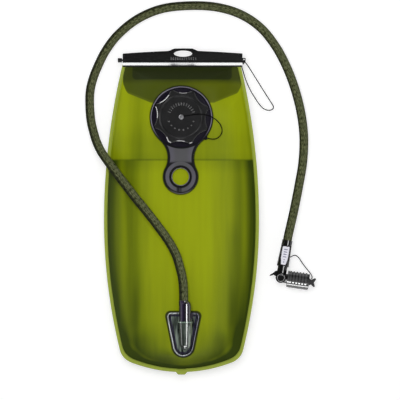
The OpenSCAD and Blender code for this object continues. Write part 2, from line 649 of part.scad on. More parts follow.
module drink_plug() {
    tip_y = nose_y - nose_l;
    end_y = socket_y + plug_l;
    shoulder_l = 7;                  // rounded end of the body, behind the hose's collar
    shoulder_y = end_y - shoulder_l;
    bore = bore_r - 0.6;
    groove_r = nose_r - 2 * ring_wire;
    color(dark_plastic) translate([plug_x, 0, plug_z]) difference() {
        along_y() {
            rotate_extrude() polygon([[0, tip_y], [tip_r - 0.4, tip_y], [tip_r, tip_y + 0.4],
                [tip_r, tip_y + tip_l], [nose_r, tip_y + tip_l], [nose_r, groove_y - groove_w / 2],
                [groove_r, groove_y - groove_w / 2], [groove_r, groove_y + groove_w / 2],
                [nose_r, groove_y + groove_w / 2], [nose_r, nose_y], [plug_r, nose_y], [plug_r, shoulder_y],
                [plug_r * 0.95, shoulder_y + shoulder_l * 0.4], [plug_r * 0.8, shoulder_y + shoulder_l * 0.7],
                [plug_r * 0.6, shoulder_y + shoulder_l * 0.9], [0, shoulder_y + shoulder_l * 0.9]]);
            translate([hose_x - plug_x, 0, end_y - collar_l]) cylinder(h = collar_l, r = collar_r);
        }
        along_y() translate([0, 0, tip_y + 1.2]) cylinder(h = plug_l + 2 * nose_l, r = bore);
        translate([-5, tip_y + 2.7, 0]) rotate([0, 90, 0]) cylinder(h = 10, r = tip_hole_r);
        translate([button_floor, button_y - button_l / 2 - 0.2, -button_w / 2 - 0.2])
            cube([plug_r, button_l + 0.4, button_w + 0.4]);
    }
}
module plug_o_ring() {
    color([0.12, 0.12, 0.12]) translate([plug_x, groove_y, plug_z]) along_y()
        rotate_extrude() translate([nose_r - ring_wire, 0]) circle(ring_wire - 0.04, $fn = 24);
}
module release_button() {
    low = button_floor + button_spring_l;
    round_r = 5;
    color(dark_plastic) translate([plug_x, button_y, plug_z]) intersection() {
        translate([low, -button_l / 2, -button_w / 2]) cube([button_out - low, button_l, button_w]);
        translate([button_out - round_r, 0, -button_w]) cylinder(h = 2 * button_w, r = round_r);
    }
}
module button_spring() {
    color("silver") translate([plug_x + button_floor + 0.05, button_y, plug_z]) rotate([0, 90, 0])
        coil(2.2, spring_wire - 0.1, button_spring_l - 0.1, 3);
}

module drink_hose() {
    color([0.28, 0.31, 0.17]) tube(hose_route, hose_d, 2, 12);
}
module hose_ferrule() {
    spigot_l = 12;
    color(dark_plastic) sleeve_frame() difference() {
        union() {
            translate([0, 0, ferrule_from]) cylinder(h = ferrule_l, r = hose_d / 2 + 1);
            translate([0, 0, ferrule_from - spigot_l]) cylinder(h = spigot_l + 1, r = spigot_r);
        }
        translate([0, 0, ferrule_from - spigot_l - 1]) cylinder(h = spigot_l + ferrule_l, r = bore_r - 0.4);
        translate([0, 0, ferrule_from - 7]) difference() {
            cylinder(h = groove_w, r = spigot_r + 1);
            translate([0, 0, -1]) cylinder(h = groove_w + 2, r = spigot_r - 1.4);
        }
    }
}
module swivel_o_ring() {
    color([0.12, 0.12, 0.12]) sleeve_frame() translate([0, 0, ferrule_from - 7 + groove_w / 2])
        rotate_extrude() translate([spigot_r - 0.7, 0]) circle(0.66, $fn = 24);
}

plate_w = 9;
plate_l = 24;
pad_z = sleeve_r + 0.6;  // flat on the sleeve, above its axis
module pad_outline(w, l) {
    r = 1.6;
    polygon(both_halves(concat(bezier([w / 2 - r, l], [w / 2, l], [w / 2, l - r], 5),
        [[w / 2, l - r], [w / 2, l / 3], [w / 2 - r, 0]])));
}
module valve_sleeve() {
    color(dark_plastic) difference() {
        union() {
            sleeve_frame() translate([0, 0, sleeve_from])
                cylinder(h = sleeve_l, r1 = sleeve_r + 0.5, r2 = sleeve_r - 0.6);
            translate(elbow) rotate([0, 0, sleeve_turn]) translate([0, sleeve_from + 1, 0])
                linear_extrude(pad_z) pad_outline(plate_w + 3, plate_l + 3);
        }
        sleeve_frame() {
            translate([0, 0, sleeve_from - 1]) cylinder(h = sleeve_l + 2, r = bore_r);
            translate([0, 0, ferrule_from - 12.4]) cylinder(h = 14, r = spigot_r + fit);
        }
    }
}
module label_plate() {
    color([0.62, 0.61, 0.64]) translate(elbow) rotate([0, 0, sleeve_turn])
        translate([0, sleeve_from + 2.5, pad_z]) linear_extrude(0.6) pad_outline(plate_w, plate_l);
}

module valve_elbow() {
    boss_r = 5.4;
    color(dark_plastic) difference() {
        union() {
            translate(elbow - [0, 0, elbow_r]) cylinder(h = 2 * elbow_r, r = elbow_r);
            translate(elbow + [0, 0, elbow_r]) difference() {
                cylinder(h = 1, r = boss_r);
                translate([0, 0, 0.4]) difference() {
                    cylinder(h = 2, r = boss_r - 1);
                    translate([0, 0, -1]) cylinder(h = 4, r = boss_r - 2);
                }
            }
            sleeve_frame() cylinder(h = sleeve_from, r = elbow_r - 0.4);
            mouth_frame() {
                cylinder(h = cover_from - 0.2, r = elbow_r - 0.6);
                cylinder(h = cover_from + 11, r = stub_r);
            }
            translate(elbow - [0, 0, 1.6]) rotate([0, 0, sleeve_turn]) linear_extrude(3.2)
                polygon([[-4, 9], [-8.4, 7.6], [-11, 4.2], [-14.4, 1.6], [-14.8, 0], [-12.8, 0.4], [-9.6, 2.2],
                    [-5, 0]]);
        }
        translate(elbow - [0, 0, 1.2 * bore_r]) cylinder(h = 2.4 * bore_r, r = 1.5 * bore_r);
        sleeve_frame() cylinder(h = sleeve_from + 1, r = bore_r);
        mouth_frame() cylinder(h = cover_from + 12, r = bore_r);
    }
}

module mouthpiece() {
    length = 25;
    color([0.2, 0.2, 0.22]) mouth_frame() translate([0, 0, cover_from + 0.1]) difference() {
        rotate_extrude() polygon([[0, 0], [mouth_r, 0], [mouth_r, 6], [mouth_r - 1, 7.5], [mouth_r - 1, 18],
            [mouth_r - 2, length - 1], [mouth_r - 3, length], [0, length]]);
        translate([0, 0, -1]) cylinder(h = 12.4, r = stub_r + fit);
        translate([0, 0, 11.3]) cylinder(h = length - 14.3, r = 5);
        translate([0, 0, 11]) cylinder(h = length, r = 2.4);
    }
}
module bite_membrane() {
    color([0.6, 0.62, 0.6]) mouth_frame() translate([0, 0, cover_from + 20]) difference() {
        cylinder(h = 1.6, r = 4.95);
        translate([-2, -0.3, -1]) cube([4, 0.6, 4]);
    }
}

module dirt_shield() {
    rib_step = (cover_l - 4.4) / cover_ribs;
    groove = 1.2;
    tab_t = 2.4;
    color(dark_plastic) {
        mouth_frame() translate([0, 0, cover_from]) difference() {
            union() {
                cylinder(h = cover_l, r = cover_r - groove);
                cylinder(h = 2, r = cover_r - 0.3);
                for (i = [0 : cover_ribs - 1])
                    translate([0, 0, 2.8 + i * rib_step]) cylinder(h = rib_step * 0.55, r = cover_r);
                intersection() {
                    cylinder(h = cover_l - 0.6, r = cover_r - 0.1);
                    translate([-cover_r, -cover_r, 0]) cube([2 * cover_r, cover_r * 0.55, cover_l]);
                }
            }
            translate([0, 0, -1]) cylinder(h = cover_l - 1.6, r = cover_in_r);
        }
        translate(elbow - [0, 0, tab_t / 2]) rotate([0, 0, mouth_turn]) translate([cover_from + cover_l - 0.1, 0, 0])
            linear_extrude(tab_t) polygon([[0, -5], [3, -3.2], [7.4, -6.2], [8.6, -4.8], [6.8, 0], [9, 4.6],
                [7.6, 6], [3, 3], [0, 5]]);
    }
}
module shield_leash() {
    color("black") tube(shield_leash_route, cord_d, 2, 8);
}

front_film();
back_film();
fold_flap();
mouth_stiffener();
closure_rod();
slider();
slider_lanyard();
fill_base();
fill_cap();
cap_gasket();
cap_pin();
cap_leash();
port_base();
port_poppet();
poppet_seal();
port_spring();
drink_plug();
plug_o_ring();
release_button();
button_spring();
drink_hose();
hose_ferrule();
valve_sleeve();
swivel_o_ring();
label_plate();
valve_elbow();
mouthpiece();
bite_membrane();
dirt_shield();
shield_leash();
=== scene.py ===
# Hydration bladder: film, hose, cords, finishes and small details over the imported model
from math import asin, atan2, cos, dist, hypot, pi, radians, sin, sqrt

import bpy
import bmesh
import numpy as np
from mathutils import Matrix, Vector, noise


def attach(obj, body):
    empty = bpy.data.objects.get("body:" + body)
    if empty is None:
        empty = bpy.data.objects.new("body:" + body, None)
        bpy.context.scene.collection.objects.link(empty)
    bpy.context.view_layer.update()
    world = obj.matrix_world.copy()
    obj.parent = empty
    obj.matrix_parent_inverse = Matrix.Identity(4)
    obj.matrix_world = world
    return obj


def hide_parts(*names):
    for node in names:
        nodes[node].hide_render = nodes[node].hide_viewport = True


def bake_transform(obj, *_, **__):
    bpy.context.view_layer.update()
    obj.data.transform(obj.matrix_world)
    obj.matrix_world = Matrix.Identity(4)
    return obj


mm = 0.001

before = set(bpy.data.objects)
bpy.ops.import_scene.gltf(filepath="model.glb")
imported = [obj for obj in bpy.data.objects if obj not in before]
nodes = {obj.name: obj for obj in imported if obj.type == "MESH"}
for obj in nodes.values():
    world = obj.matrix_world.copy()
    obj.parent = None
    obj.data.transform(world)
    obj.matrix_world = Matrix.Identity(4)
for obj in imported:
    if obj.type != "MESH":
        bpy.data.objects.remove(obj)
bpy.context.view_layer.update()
print("stage: frame loaded,", len(nodes), "nodes")


def newObject(name, data):
    obj = bpy.data.objects.new(name, data)
    bpy.context.scene.collection.objects.link(obj)
    return obj


# camera: straight down on the bag, with a long lens
view = {"lens": 300, "sensor": 36, "across": 0.52, "centre": (0.02405, 0.01495), "plane": 0.019}
cameraData = bpy.data.cameras.new("camera")
cameraData.lens = view["lens"]
cameraData.sensor_width = view["sensor"]
camera = newObject("camera", cameraData)
camera.location = (*view["centre"], view["plane"] + view["across"] * view["lens"] / view["sensor"])
bpy.context.scene.camera = camera


# curves and meshes that several pieces use
def smoothPath(points, steps):
    # rounded path through points, in metres, steps to each stretch
    p = [Vector(q) * mm for q in points]
    last = len(p) - 1
    path = []
    for i in range(last):
        a, b, c, d = p[max(0, i - 1)], p[i], p[i + 1], p[min(last, i + 2)]
        for j in range(steps):
            t = j / steps
            path.append(0.5 * (2 * b + (c - a) * t + (2 * a - 5 * b + 4 * c - d) * t * t
                               + (3 * b - a - 3 * c + d) * t ** 3))
    return path + [p[last]]


def evenPath(path, gap):
    # the same path with its points about gap apart
    out = [path[0].copy()]
    left = gap
    for a, b in zip(path, path[1:]):
        step = (b - a).length
        while step > 1e-9 and left <= step:
            a = a.lerp(b, left / step)
            step = (b - a).length
            out.append(a.copy())
            left = gap
        left -= step
    if (out[-1] - path[-1]).length < gap * 0.4:
        out.pop()
    return out + [path[-1].copy()]


def pathLength(path):
    return sum((b - a).length for a, b in zip(path, path[1:]))


def smoothMesh(mesh, sharp=radians(50)):
    # faces turned outward and smooth, with the sharp edges kept
    work = bmesh.new()
    work.from_mesh(mesh)
    bmesh.ops.recalc_face_normals(work, faces=work.faces)
    work.normal_update()
    for face in work.faces:
        face.smooth = True
    for edge in work.edges:
        edge.smooth = len(edge.link_faces) == 2 and edge.calc_face_angle(0) < sharp
    work.to_mesh(mesh)
    work.free()


def newMesh(name, verts, faces, uvName=None, uvs=()):
    # closed mesh as an object, with a UV map where one is given
    mesh = bpy.data.meshes.new(name)
    mesh.from_pydata([tuple(v) for v in verts], [], faces)
    if uvName:
        layer = mesh.uv_layers.new(name=uvName)
        for loop, uv in zip(layer.data, (uv for face in uvs for uv in face)):
            loop.uv = uv
    smoothMesh(mesh)
    return newObject(name, mesh)


def makeTube(name, path, radius, sides):
    # round tube along a path, with a UV map: around it, and along it in metres
    verts, faces, uvs, far = [], [], [], [0.0]
    for i, p in enumerate(path):
        along = (path[min(len(path) - 1, i + 1)] - path[max(0, i - 1)]).normalized()
        side = along.cross(Vector((0, 0, 1))).normalized()
        up = side.cross(along)
        if i:
            far.append(far[-1] + (p - path[i - 1]).length)
        for a in (2 * pi * j / sides for j in range(sides)):
            verts.append(p + radius * (cos(a) * side + sin(a) * up))
    for i in range(len(path) - 1):
        for j in range(sides):
            a, b, k = i * sides, (i + 1) * sides, (j + 1) % sides
            faces.append((a + j, b + j, b + k, a + k))
            u, v = j / sides, (j + 1) / sides
            uvs.append([(u, far[i]), (u, far[i + 1]), (v, far[i + 1]), (v, far[i])])
    faces += [tuple(range(sides)), tuple(len(verts) - 1 - j for j in range(sides))]
    uvs += [[(0, 0)] * sides, [(0, far[-1])] * sides]
    return newMesh(name, verts, faces, "along", uvs)


# the hose and the three thin cords, where the model has them; lengths and places in mm
port = {"socketX": 4.9, "hoseX": 2.9, "plugEnd": -115, "z": 47.8, "chamberY": -167.8, "waterHole": 3.7}
valve = {"elbow": Vector((129.1, -86.3, 11.1)), "sleeveTurn": -10.2, "mouthTurn": -8.2, "plateTop": 19.7,
         "bossUp": 7.7}


def onSleeve(s):
    turn = radians(valve["sleeveTurn"])
    return valve["elbow"] + s * Vector((-sin(turn), cos(turn), 0))


hose = {"diameter": 11.5, "end": 49.6, "lead": 6, "sides": 32, "gap": 1.6}
hoseStart = Vector((port["hoseX"], port["plugEnd"], port["z"]))
hoseRoute = [
    hoseStart, hoseStart + Vector((0, 9, -0.3)), (1.6, -88, 46), (-2, -72, 44.8), (-7, -56, 44.4),
    (-16, -39, 44.3), (-31, -18, 44.3), (-45, 0, 44.3), (-58, 16, 44), (-69, 30, 42.6), (-79, 43, 39.8),
    (-88, 55, 35.6), (-97, 67, 30.2), (-105, 79, 23), (-111, 92, 15.5), (-115, 105, 9.8), (-118, 118, 6.8),
    (-119.6, 135, 6), (-119.4, 155, 6), (-115.8, 172, 6), (-108.4, 191, 6), (-98, 211, 6), (-81.6, 231.8, 6),
    (-56.6, 251.4, 6), (-25.8, 264.2, 6), (10, 268.3, 6), (45.6, 266.4, 6), (77, 257, 6), (103, 239.6, 6),
    (122.6, 215.4, 6), (137.4, 187.6, 6), (148.4, 158, 6), (156, 127, 6), (159.4, 96, 6), (158, 64, 6),
    (152.6, 32, 6.4), (146.2, 0, 8.4), (141, -22.6, 10.2), onSleeve(hose["end"] + hose["lead"]),
    onSleeve(hose["end"])]
hosePath = evenPath(smoothPath(hoseRoute, 12), hose["gap"] * mm)
hoseTube = makeTube("hose_cover", hosePath, hose["diameter"] / 2 * mm, hose["sides"])

cord = {"diameter": 1.3, "sides": 12, "gap": 0.5}
cordRoutes = {
    "lanyard": [
        (78.2, 188.8, 16.075), (79.6, 184.4, 15.9), (83, 173, 15.3), (88.5, 160, 14.5), (94.5, 149.5, 13.8),
        (102, 138.6, 13.2), (107.6, 133.4, 13), (113, 131.8, 12.9), (117.4, 132.4, 12.9), (119.6, 135.2, 13),
        (118.6, 138.6, 13.1), (112, 149, 13.8), (105.3, 159.5, 14.7), (94.4, 176.8, 16.5), (87, 188.5, 17.7),
        (82.6, 194.2, 18.475)],
    "cap_cord": [
        (3.2, 122.8, 57.4), (12, 124.4, 57.5), (24, 125.6, 57.5), (34, 124, 57), (41, 121, 53.5),
        (47, 116.4, 48), (51.5, 110, 43.5), (52.6, 104, 41), (50.4, 98.6, 40), (45.5, 94.6, 40),
        (40, 93.8, 40.3), (33.9, 94.9, 40.7)],
    "shield_cord": [
        (141.7, -59.6, 11.1), (145.2, -57.6, 11), (148.6, -57.2, 10.6), (152.6, -60.2, 10),
        (157.4, -67.2, 9.4), (162.8, -74.4, 9.2), (167.2, -79.8, 9.6), (169.7, -83.8, 10.2),
        (170, -86.4, 10.8), (169.3, -88.35, 11.1)]}
cordPaths = {name: evenPath(smoothPath(route, 12), cord["gap"] * mm) for name, route in cordRoutes.items()}
cordTubes = {name: makeTube(name, path, cord["diameter"] / 2 * mm, cord["sides"])
             for name, path in cordPaths.items()}
print("stage: hose %.3f m and %d cords" % (pathLength(hosePath), len(cordTubes)))


# node helpers; a sum is made in the tree of the sockets that go into it
def srgb(r, g, b):
    def one(c):
        c = c / 255
        return c / 12.92 if c <= 0.04045 else ((c + 0.055) / 1.055) ** 2.4
    return (one(r), one(g), one(b), 1.0)


def treeOf(values):
    return next(v for v in values if isinstance(v, bpy.types.NodeSocket)).id_data


def feed(sockets, values):
    # a link or a plain value for each socket named
    for key, value in values.items():
        if isinstance(value, bpy.types.NodeSocket):
            value.id_data.links.new(value, sockets[key])
        else:
            sockets[key].default_value = value


def addNode(tree, kind, inputs=None, **settings):
    # a new node's outputs
    node = tree.nodes.new(kind)
    for key, value in settings.items():
        setattr(node, key, value)
    feed(node.inputs, inputs or {})
    return node.outputs


def calc(operation, *values):
    return addNode(treeOf(values), "ShaderNodeMath", dict(enumerate(values)), operation=operation)[0]


def chain(operation, values):
    out = values[0]
    for value in values[1:]:
        out = calc(operation, out, value)
    return out


def total(*values):
    return chain("ADD", values)


def times(*values):
    return chain("MULTIPLY", values)


def most(*values):
    return chain("MAXIMUM", values)


def less(a, b):
    return calc("SUBTRACT", a, b)


def apart(a, b):
    return calc("ABSOLUTE", less(a, b))


def pick(mask, yes, no):
    return total(times(yes, mask), times(no, less(1.0, mask)))


def fade(value, low, high):
    # 0 below low, 1 above high, soft between
    return addNode(value.id_data, "ShaderNodeMapRange", {"Value": value, "From Min": low, "From Max": high},
                   interpolation_type="SMOOTHSTEP")["Result"]


def bell(value, middle, half):
    # 1 at the middle, falling softly to 0 at half away from it
    return fade(apart(value, middle), half, 0.0)


def mix(factor, a, b):
    # from one colour to another; three plain numbers are red, green and blue up to 255
    a, b = (srgb(*c) if isinstance(c, tuple) and len(c) == 3 else c for c in (a, b))
    return addNode(factor.id_data, "ShaderNodeMix", {0: factor, 6: a, 7: b}, data_type="RGBA")[2]


def split(vector):
    return addNode(vector.id_data, "ShaderNodeSeparateXYZ", {0: vector})[:]


def vectorCalc(operation, *values):
    outputs = addNode(treeOf(values), "ShaderNodeVectorMath", dict(enumerate(values)), operation=operation)
    return outputs["Value" if operation in ("DISTANCE", "LENGTH") else "Vector"]


def inMm(vector):
    return vectorCalc("MULTIPLY", vector, (1000.0, 1000.0, 1000.0))


def farFrom(spot, x, y):
    # distance in plan from a point, all in mm
    return vectorCalc("DISTANCE", vectorCalc("MULTIPLY", spot, (1.0, 1.0, 0.0)), (x, y, 0.0))


def noiseAt(place, scale, detail=2.0):
    return addNode(place.id_data, "ShaderNodeTexNoise",
                   {"Vector": place, "Scale": scale, "Detail": detail})["Fac"]


def stretched(place, scale, noiseScale, detail=2.0):
    # noise drawn out along one axis
    return noiseAt(addNode(place.id_data, "ShaderNodeMapping", {"Vector": place, "Scale": scale})[0],
                   noiseScale, detail)


def bumped(height, distance, strength=1.0):
    return addNode(height.id_data, "ShaderNodeBump",
                   {"Height": height, "Distance": distance, "Strength": strength})["Normal"]


def uvMap(place, name):
    return addNode(place.id_data, "ShaderNodeUVMap", uv_map=name)[0]


# kinds of sockets by label; all others are numbers
socketKinds = {"Vector": "Vector", "Normal": "Vector", "Count": "Int", "Finish": "Material",
               "Geometry": "Geometry"}


def newTree(name, family, inputs, outputs):
    tree = bpy.data.node_groups.new(name, family + "NodeTree")
    for way, labels in (("INPUT", inputs), ("OUTPUT", outputs)):
        for label in labels:
            kind = "NodeSocket" + socketKinds.get(label, "Float")
            tree.interface.new_socket(name=label, in_out=way, socket_type=kind)
    return tree, tree.nodes.new("NodeGroupInput").outputs, tree.nodes.new("NodeGroupOutput").inputs


def useGroup(group, inputs):
    return addNode(treeOf(inputs.values()), "ShaderNodeGroup", inputs, node_tree=group)


def makeGrainGroup():
    # moulded surface: roughness that varies a little and a shallow grain
    tree, given, out = newTree("moulded grain", "Shader", ("Vector", "Scale", "Roughness", "Spread", "Depth"),
                               ("Roughness", "Normal", "Mask"))
    fine = noiseAt(given["Vector"], given["Scale"], 3.0)
    both = total(times(fine, 0.4), times(noiseAt(given["Vector"], 60.0), 0.6))
    feed(out, {"Roughness": total(given["Roughness"], times(less(both, 0.5), given["Spread"])),
               "Normal": bumped(fine, given["Depth"]), "Mask": both})
    return tree


def makePatchGroup():
    # rectangle with round corners on a surface: its middle, half width and height, corner and soft edge
    tree, given, out = newTree("soft patch", "Shader",
                               ("Vector", "X", "Y", "Half width", "Half height", "Corner", "Soft"), ("Mask",))
    over = []
    for at, middle, half in zip(split(given["Vector"]), ("X", "Y"), ("Half width", "Half height")):
        beyond = most(less(apart(at, given[middle]), less(given[half], given["Corner"])), 0.0)
        over.append(times(beyond, beyond))
    away = less(calc("SQRT", total(*over)), given["Corner"])
    feed(out, {"Mask": fade(away, given["Soft"], times(given["Soft"], -1.0))})
    return tree


def makeBraidGroup():
    # two sets of slanting strands that pass over and under each other
    tree, given, out = newTree("braid", "Shader", ("Vector", "Strands", "Pitch"), ("Height", "Gap", "Pick"))
    spot = split(given["Vector"])
    around, along = times(spot[0], given["Strands"]), calc("DIVIDE", spot[1], given["Pitch"])
    left, right = total(around, along), less(around, along)
    a, b = (calc("SINE", times(calc("FRACT", v), pi)) for v in (left, right))
    over = calc("ABSOLUTE", calc("MODULO", total(calc("FLOOR", left), calc("FLOOR", right)), 2.0))
    height = times(calc("POWER", pick(over, a, b), 0.6), calc("POWER", pick(over, b, a), 0.35))
    feed(out, {"Height": height, "Gap": fade(height, 0.45, 0.05), "Pick": over})
    return tree


grainGroup = makeGrainGroup()
patchGroup = makePatchGroup()
braidGroup = makeBraidGroup()


def newMaterial(name, colour, roughness, specular=0.5, coat=(0.0, 0.03, 1.5), metallic=0.0):
    # a Principled material, its inputs and the Object coordinates; a coat has its weight, roughness and IOR
    material = bpy.data.materials.new(name)
    material.use_nodes = True
    shader = material.node_tree.nodes["Principled BSDF"].inputs
    feed(shader, {"Base Color": srgb(*colour), "Roughness": roughness, "Specular IOR Level": specular,
                  "Metallic": metallic})
    feed(shader, dict(zip(("Coat Weight", "Coat Roughness", "Coat IOR"), coat)))
    return material, shader, addNode(material.node_tree, "ShaderNodeTexCoord")["Object"]


def grained(shader, place, scale, roughness, spread, depth=0.00002):
    # moulded grain on a shader; returns the mask of its broad changes
    grain = useGroup(grainGroup, {"Vector": place, "Scale": scale, "Roughness": roughness, "Spread": spread,
                                  "Depth": depth})
    feed(shader, {"Roughness": grain["Roughness"], "Normal": grain["Normal"]})
    return grain["Mask"]


def moulded(name, colour, roughness, spread=0.1, scale=900.0, depth=0.00002, mottle=0.12, **look):
    # moulded plastic or rubber: grain, and a slight change of shade over the surface
    material, shader, place = newMaterial(name, colour, roughness, **look)
    mask = grained(shader, place, scale, roughness, spread, depth)
    dark, light = (tuple(c * (1 + by) for c in srgb(*colour)[:3]) + (1.0,) for by in (-mottle, mottle))
    feed(shader, {"Base Color": mix(mask, dark, light)})
    return material


# bag film
bag = {"width": 201.6, "mouth": 152.4, "foot": 154.6, "thick": 38, "seam": 19, "weld": 5, "film": 0.7,
       "sideRoll": 45, "footRoll": 18, "tabWidth": 12, "tabLength": 3.3, "footY": -208.7, "footRise": 17.3,
       "wideY": -12, "filmTop": 193.2, "frontRoll": 25, "backRoll": 56, "cornerFoot": 12, "cornerFlat": 24,
       "cornerTop": 3, "weldSwell": 0.12, "stiffTop": 45}
outlineSteps = {"top": 14, "side": 110, "corner": 18, "foot": 24, "tab": 12}


def smoothStep(t):
    c = min(1.0, max(0.0, t))
    return c * c * (3 - 2 * c)


def lerp(a, b, t):
    return a + (b - a) * t


def bagHalf(y):
    # half the bag's width at a height, widest at wideY
    if y > bag["wideY"]:
        end, run = bag["mouth"], bag["filmTop"] - bag["wideY"]
    else:
        end, run = bag["foot"], bag["wideY"] - bag["footY"] - bag["footRise"]
    return bag["width"] / 2 - (bag["width"] - end) / 2 * ((y - bag["wideY"]) / run) ** 2


def bezier(a, b, c, n):
    return [tuple((1 - t) ** 2 * p + 2 * t * (1 - t) * q + t * t * r for p, q, r in zip(a, b, c))
            for t in (i / n for i in range(n))]


def bagOutline(side, foot, top, cornerTop, corner, tab=0.0):
    # outline of the bag, drawn in at side, foot and top: right half from its top to its foot, then the left
    topY = bag["filmTop"] - top
    cornerY = bag["footY"] + bag["footRise"] + foot
    cornerX = bagHalf(cornerY) - side
    tabEnd = bag["tabWidth"] / 2 + 2

    def sideAt(y):
        return (bagHalf(y) - side, y)

    def footAt(x):
        return (x, bag["footY"] + foot + bag["footRise"] * (x / cornerX) ** 2
                - tab * smoothStep((tabEnd - abs(x)) / 4))
    n, start, stop = outlineSteps, topY - cornerTop, cornerY + corner
    half = bezier((bagHalf(topY) - side - cornerTop, topY), sideAt(topY), sideAt(start), n["top"])
    half += [sideAt(lerp(start, stop, i / n["side"])) for i in range(n["side"])]
    half += bezier(sideAt(stop), (cornerX, cornerY), footAt(cornerX - corner), n["corner"])
    half += [footAt(lerp(cornerX - corner, tabEnd, i / n["foot"])) for i in range(n["foot"])]
    half += [footAt(tabEnd * i / n["tab"]) for i in range(n["tab"], 1, -1)] + [footAt(0.4)]
    return half + [(-x, y) for x, y in reversed(half)]


def ringBetween(a, b, t):
    return [(lerp(p[0], q[0], t), lerp(p[1], q[1], t)) for p, q in zip(a, b)]


def crease(x, y):
    # soft folds that hang down the bag's sides and gather at its foot; 0 to 1
    side = smoothStep((abs(x) - 34) / 30)
    foot = smoothStep((-120 - y) / 60)
    wave = 0.5 + 0.5 * noise.noise(Vector((x * 0.05, y * 0.006, 3.1)))
    ripple = 0.5 + 0.5 * noise.noise(Vector((x * 0.016, y * 0.045, 8.7)))
    return min(1.0, side * wave + foot * ripple * 0.7)


def pucker(v, u):
    # short wrinkles that run in from the weld
    run = smoothStep((v - bag["weld"]) / 3) * smoothStep((26 - v) / 18)
    return run * (0.5 + 0.5 * noise.noise(Vector((u * 0.16, v * 0.02, 1.7))))


def filmShell(name, depth, topRoll, low, holes, foldDepth, puckerDepth):
    # one film between its two surfaces, from the weld to the flat middle
    weldWide, sideRoll = bag["weld"], bag["sideRoll"]
    edge = bagOutline(0, 0, 0, bag["cornerTop"], bag["cornerFoot"], bag["tabLength"])
    weld = bagOutline(weldWide, weldWide, weldWide, bag["cornerTop"], bag["cornerFoot"])
    flat = bagOutline(weldWide + sideRoll, weldWide + bag["footRoll"], weldWide + topRoll,
                      bag["cornerFlat"], bag["cornerFlat"])
    count, roll, inner = len(edge), 40, 24
    turned = -1 if depth < 0 else 1
    # rings of points, each with its share of the roll and its distance from the edge
    rings = [(ringBetween(edge, weld, t), None, t * weldWide) for t in (0, 0.06, 0.5, 0.94)]
    for t in ((i / roll) ** 1.25 for i in range(roll + 1)):
        rings.append((ringBetween(weld, flat, t), t, weldWide + t * sideRoll))
    middleY = lerp(bag["footY"] + bag["footRoll"], bag["filmTop"] - topRoll, 0.5)
    for i in range(1, inner):
        s = 1 - i / inner
        rings.append(([(x * s, middleY + (y - middleY) * s) for x, y in flat], 1.0, weldWide + sideRoll + i))
    along = [0.0]
    for p, q in zip(weld, weld[1:]):
        along.append(along[-1] + dist(p, q))
    verts, faces, uvs = [], [], []
    for lift in (0, bag["film"]):
        for points, t, far in rings:
            for k, (x, y) in enumerate(points):
                z = low + lift
                if t is not None:
                    topness = smoothStep((weld[k][1] - bag["filmTop"] + bag["stiffTop"]) / 30)
                    z += depth * lerp(1 - (1 - t) ** 2, smoothStep(t), topness)
                    inward = foldDepth * crease(x, y) * smoothStep(t / 0.25)
                    inward += puckerDepth * pucker(far, along[k])
                    z -= turned * inward * (1 - topness)
                elif 0 < far < weldWide:
                    z += bag["weldSwell"] if lift else -bag["weldSwell"]
                verts.append((x * mm, y * mm, z * mm))
        verts.append((0, middleY * mm, verts[-count][2]))
    size, last = len(rings) * count + 1, len(rings) - 1

    def addFace(corners, *spots):
        faces.append(corners)
        uvs.append([(along[k] * mm, rings[r][2] * mm) for r, k in spots])
    around = [(k, (k + 1) % count) for k in range(count)]
    for base in (0, size):
        for r in range(last):
            a, c = base + r * count, base + (r + 1) * count
            for k, n in around:
                addFace((a + k, a + n, c + n, c + k), (r, k), (r, n), (r + 1, n), (r + 1, k))
        a = base + last * count
        for k, n in around:
            addFace((a + k, a + n, base + size - 1), (last, k), (last, n), (last, k))
    for k, n in around:
        addFace((k, n, size + n, size + k), (0, k), (0, n), (0, n), (0, k))
    obj = newMesh(name, verts, faces, "rim", uvs)
    for x, y, radius in holes:
        cutHole(obj, x, y, radius)
    return obj


def cutHole(obj, x, y, radius):
    # round hole through a film, cut with a boolean
    work = bmesh.new()
    bmesh.ops.create_cone(work, cap_ends=True, segments=96, radius1=radius * mm, radius2=radius * mm,
                          depth=6 * mm, matrix=Matrix.Translation((x * mm, y * mm, bag["thick"] * mm)))
    mesh = bpy.data.meshes.new("cutter")
    work.to_mesh(mesh)
    work.free()
    cutter = newObject("cutter", mesh)
    cut = obj.modifiers.new("hole", "BOOLEAN")
    cut.object = cutter
    cut.operation = "DIFFERENCE"
    cut.solver = "EXACT"
    applyModifiers(obj)
    bpy.data.objects.remove(cutter)


def applyModifiers(obj):
    # the finished shape as the object's own plain mesh
    bpy.context.view_layer.update()
    mesh = bpy.data.meshes.new_from_object(obj.evaluated_get(bpy.context.evaluated_depsgraph_get()))
    obj.modifiers.clear()
    obj.data = mesh


frontFilm = filmShell("front_sheet", bag["thick"] - bag["seam"] - bag["film"], bag["frontRoll"], bag["seam"],
                      [(0, 122, 24), (port["socketX"], port["chamberY"], port["waterHole"])], 1.6, 0.5)
backFilm = filmShell("back_sheet", bag["film"] - bag["seam"], bag["backRoll"], bag["seam"] - bag["film"],
                     [], 0.0, 0.0)
print("stage: films,", len(frontFilm.data.polygons), "and", len(backFilm.data.polygons), "faces")


# flap: both films folded back over the rod, with a stiffener strip along it
flap = {"middle": 1.15, "width": 151.6, "side": 15.5, "corner": 6, "edge": 72, "sheet": 0.8, "gap": 0.25,
        "rodY": 196.6, "rodZ": 18.475, "rod": 2.66, "hem": 3.1, "hemTurn": (-35, 250), "topY": 188.2,
        "over": 4.5, "foot": 0.848, "strip": 0.6, "stripWidth": 129, "stripCorner": 6,
        "stripTop": 0.05, "stripFoot": 0.31}


def downFlap(share):
    return flap["topY"] - bag["backRoll"] * share


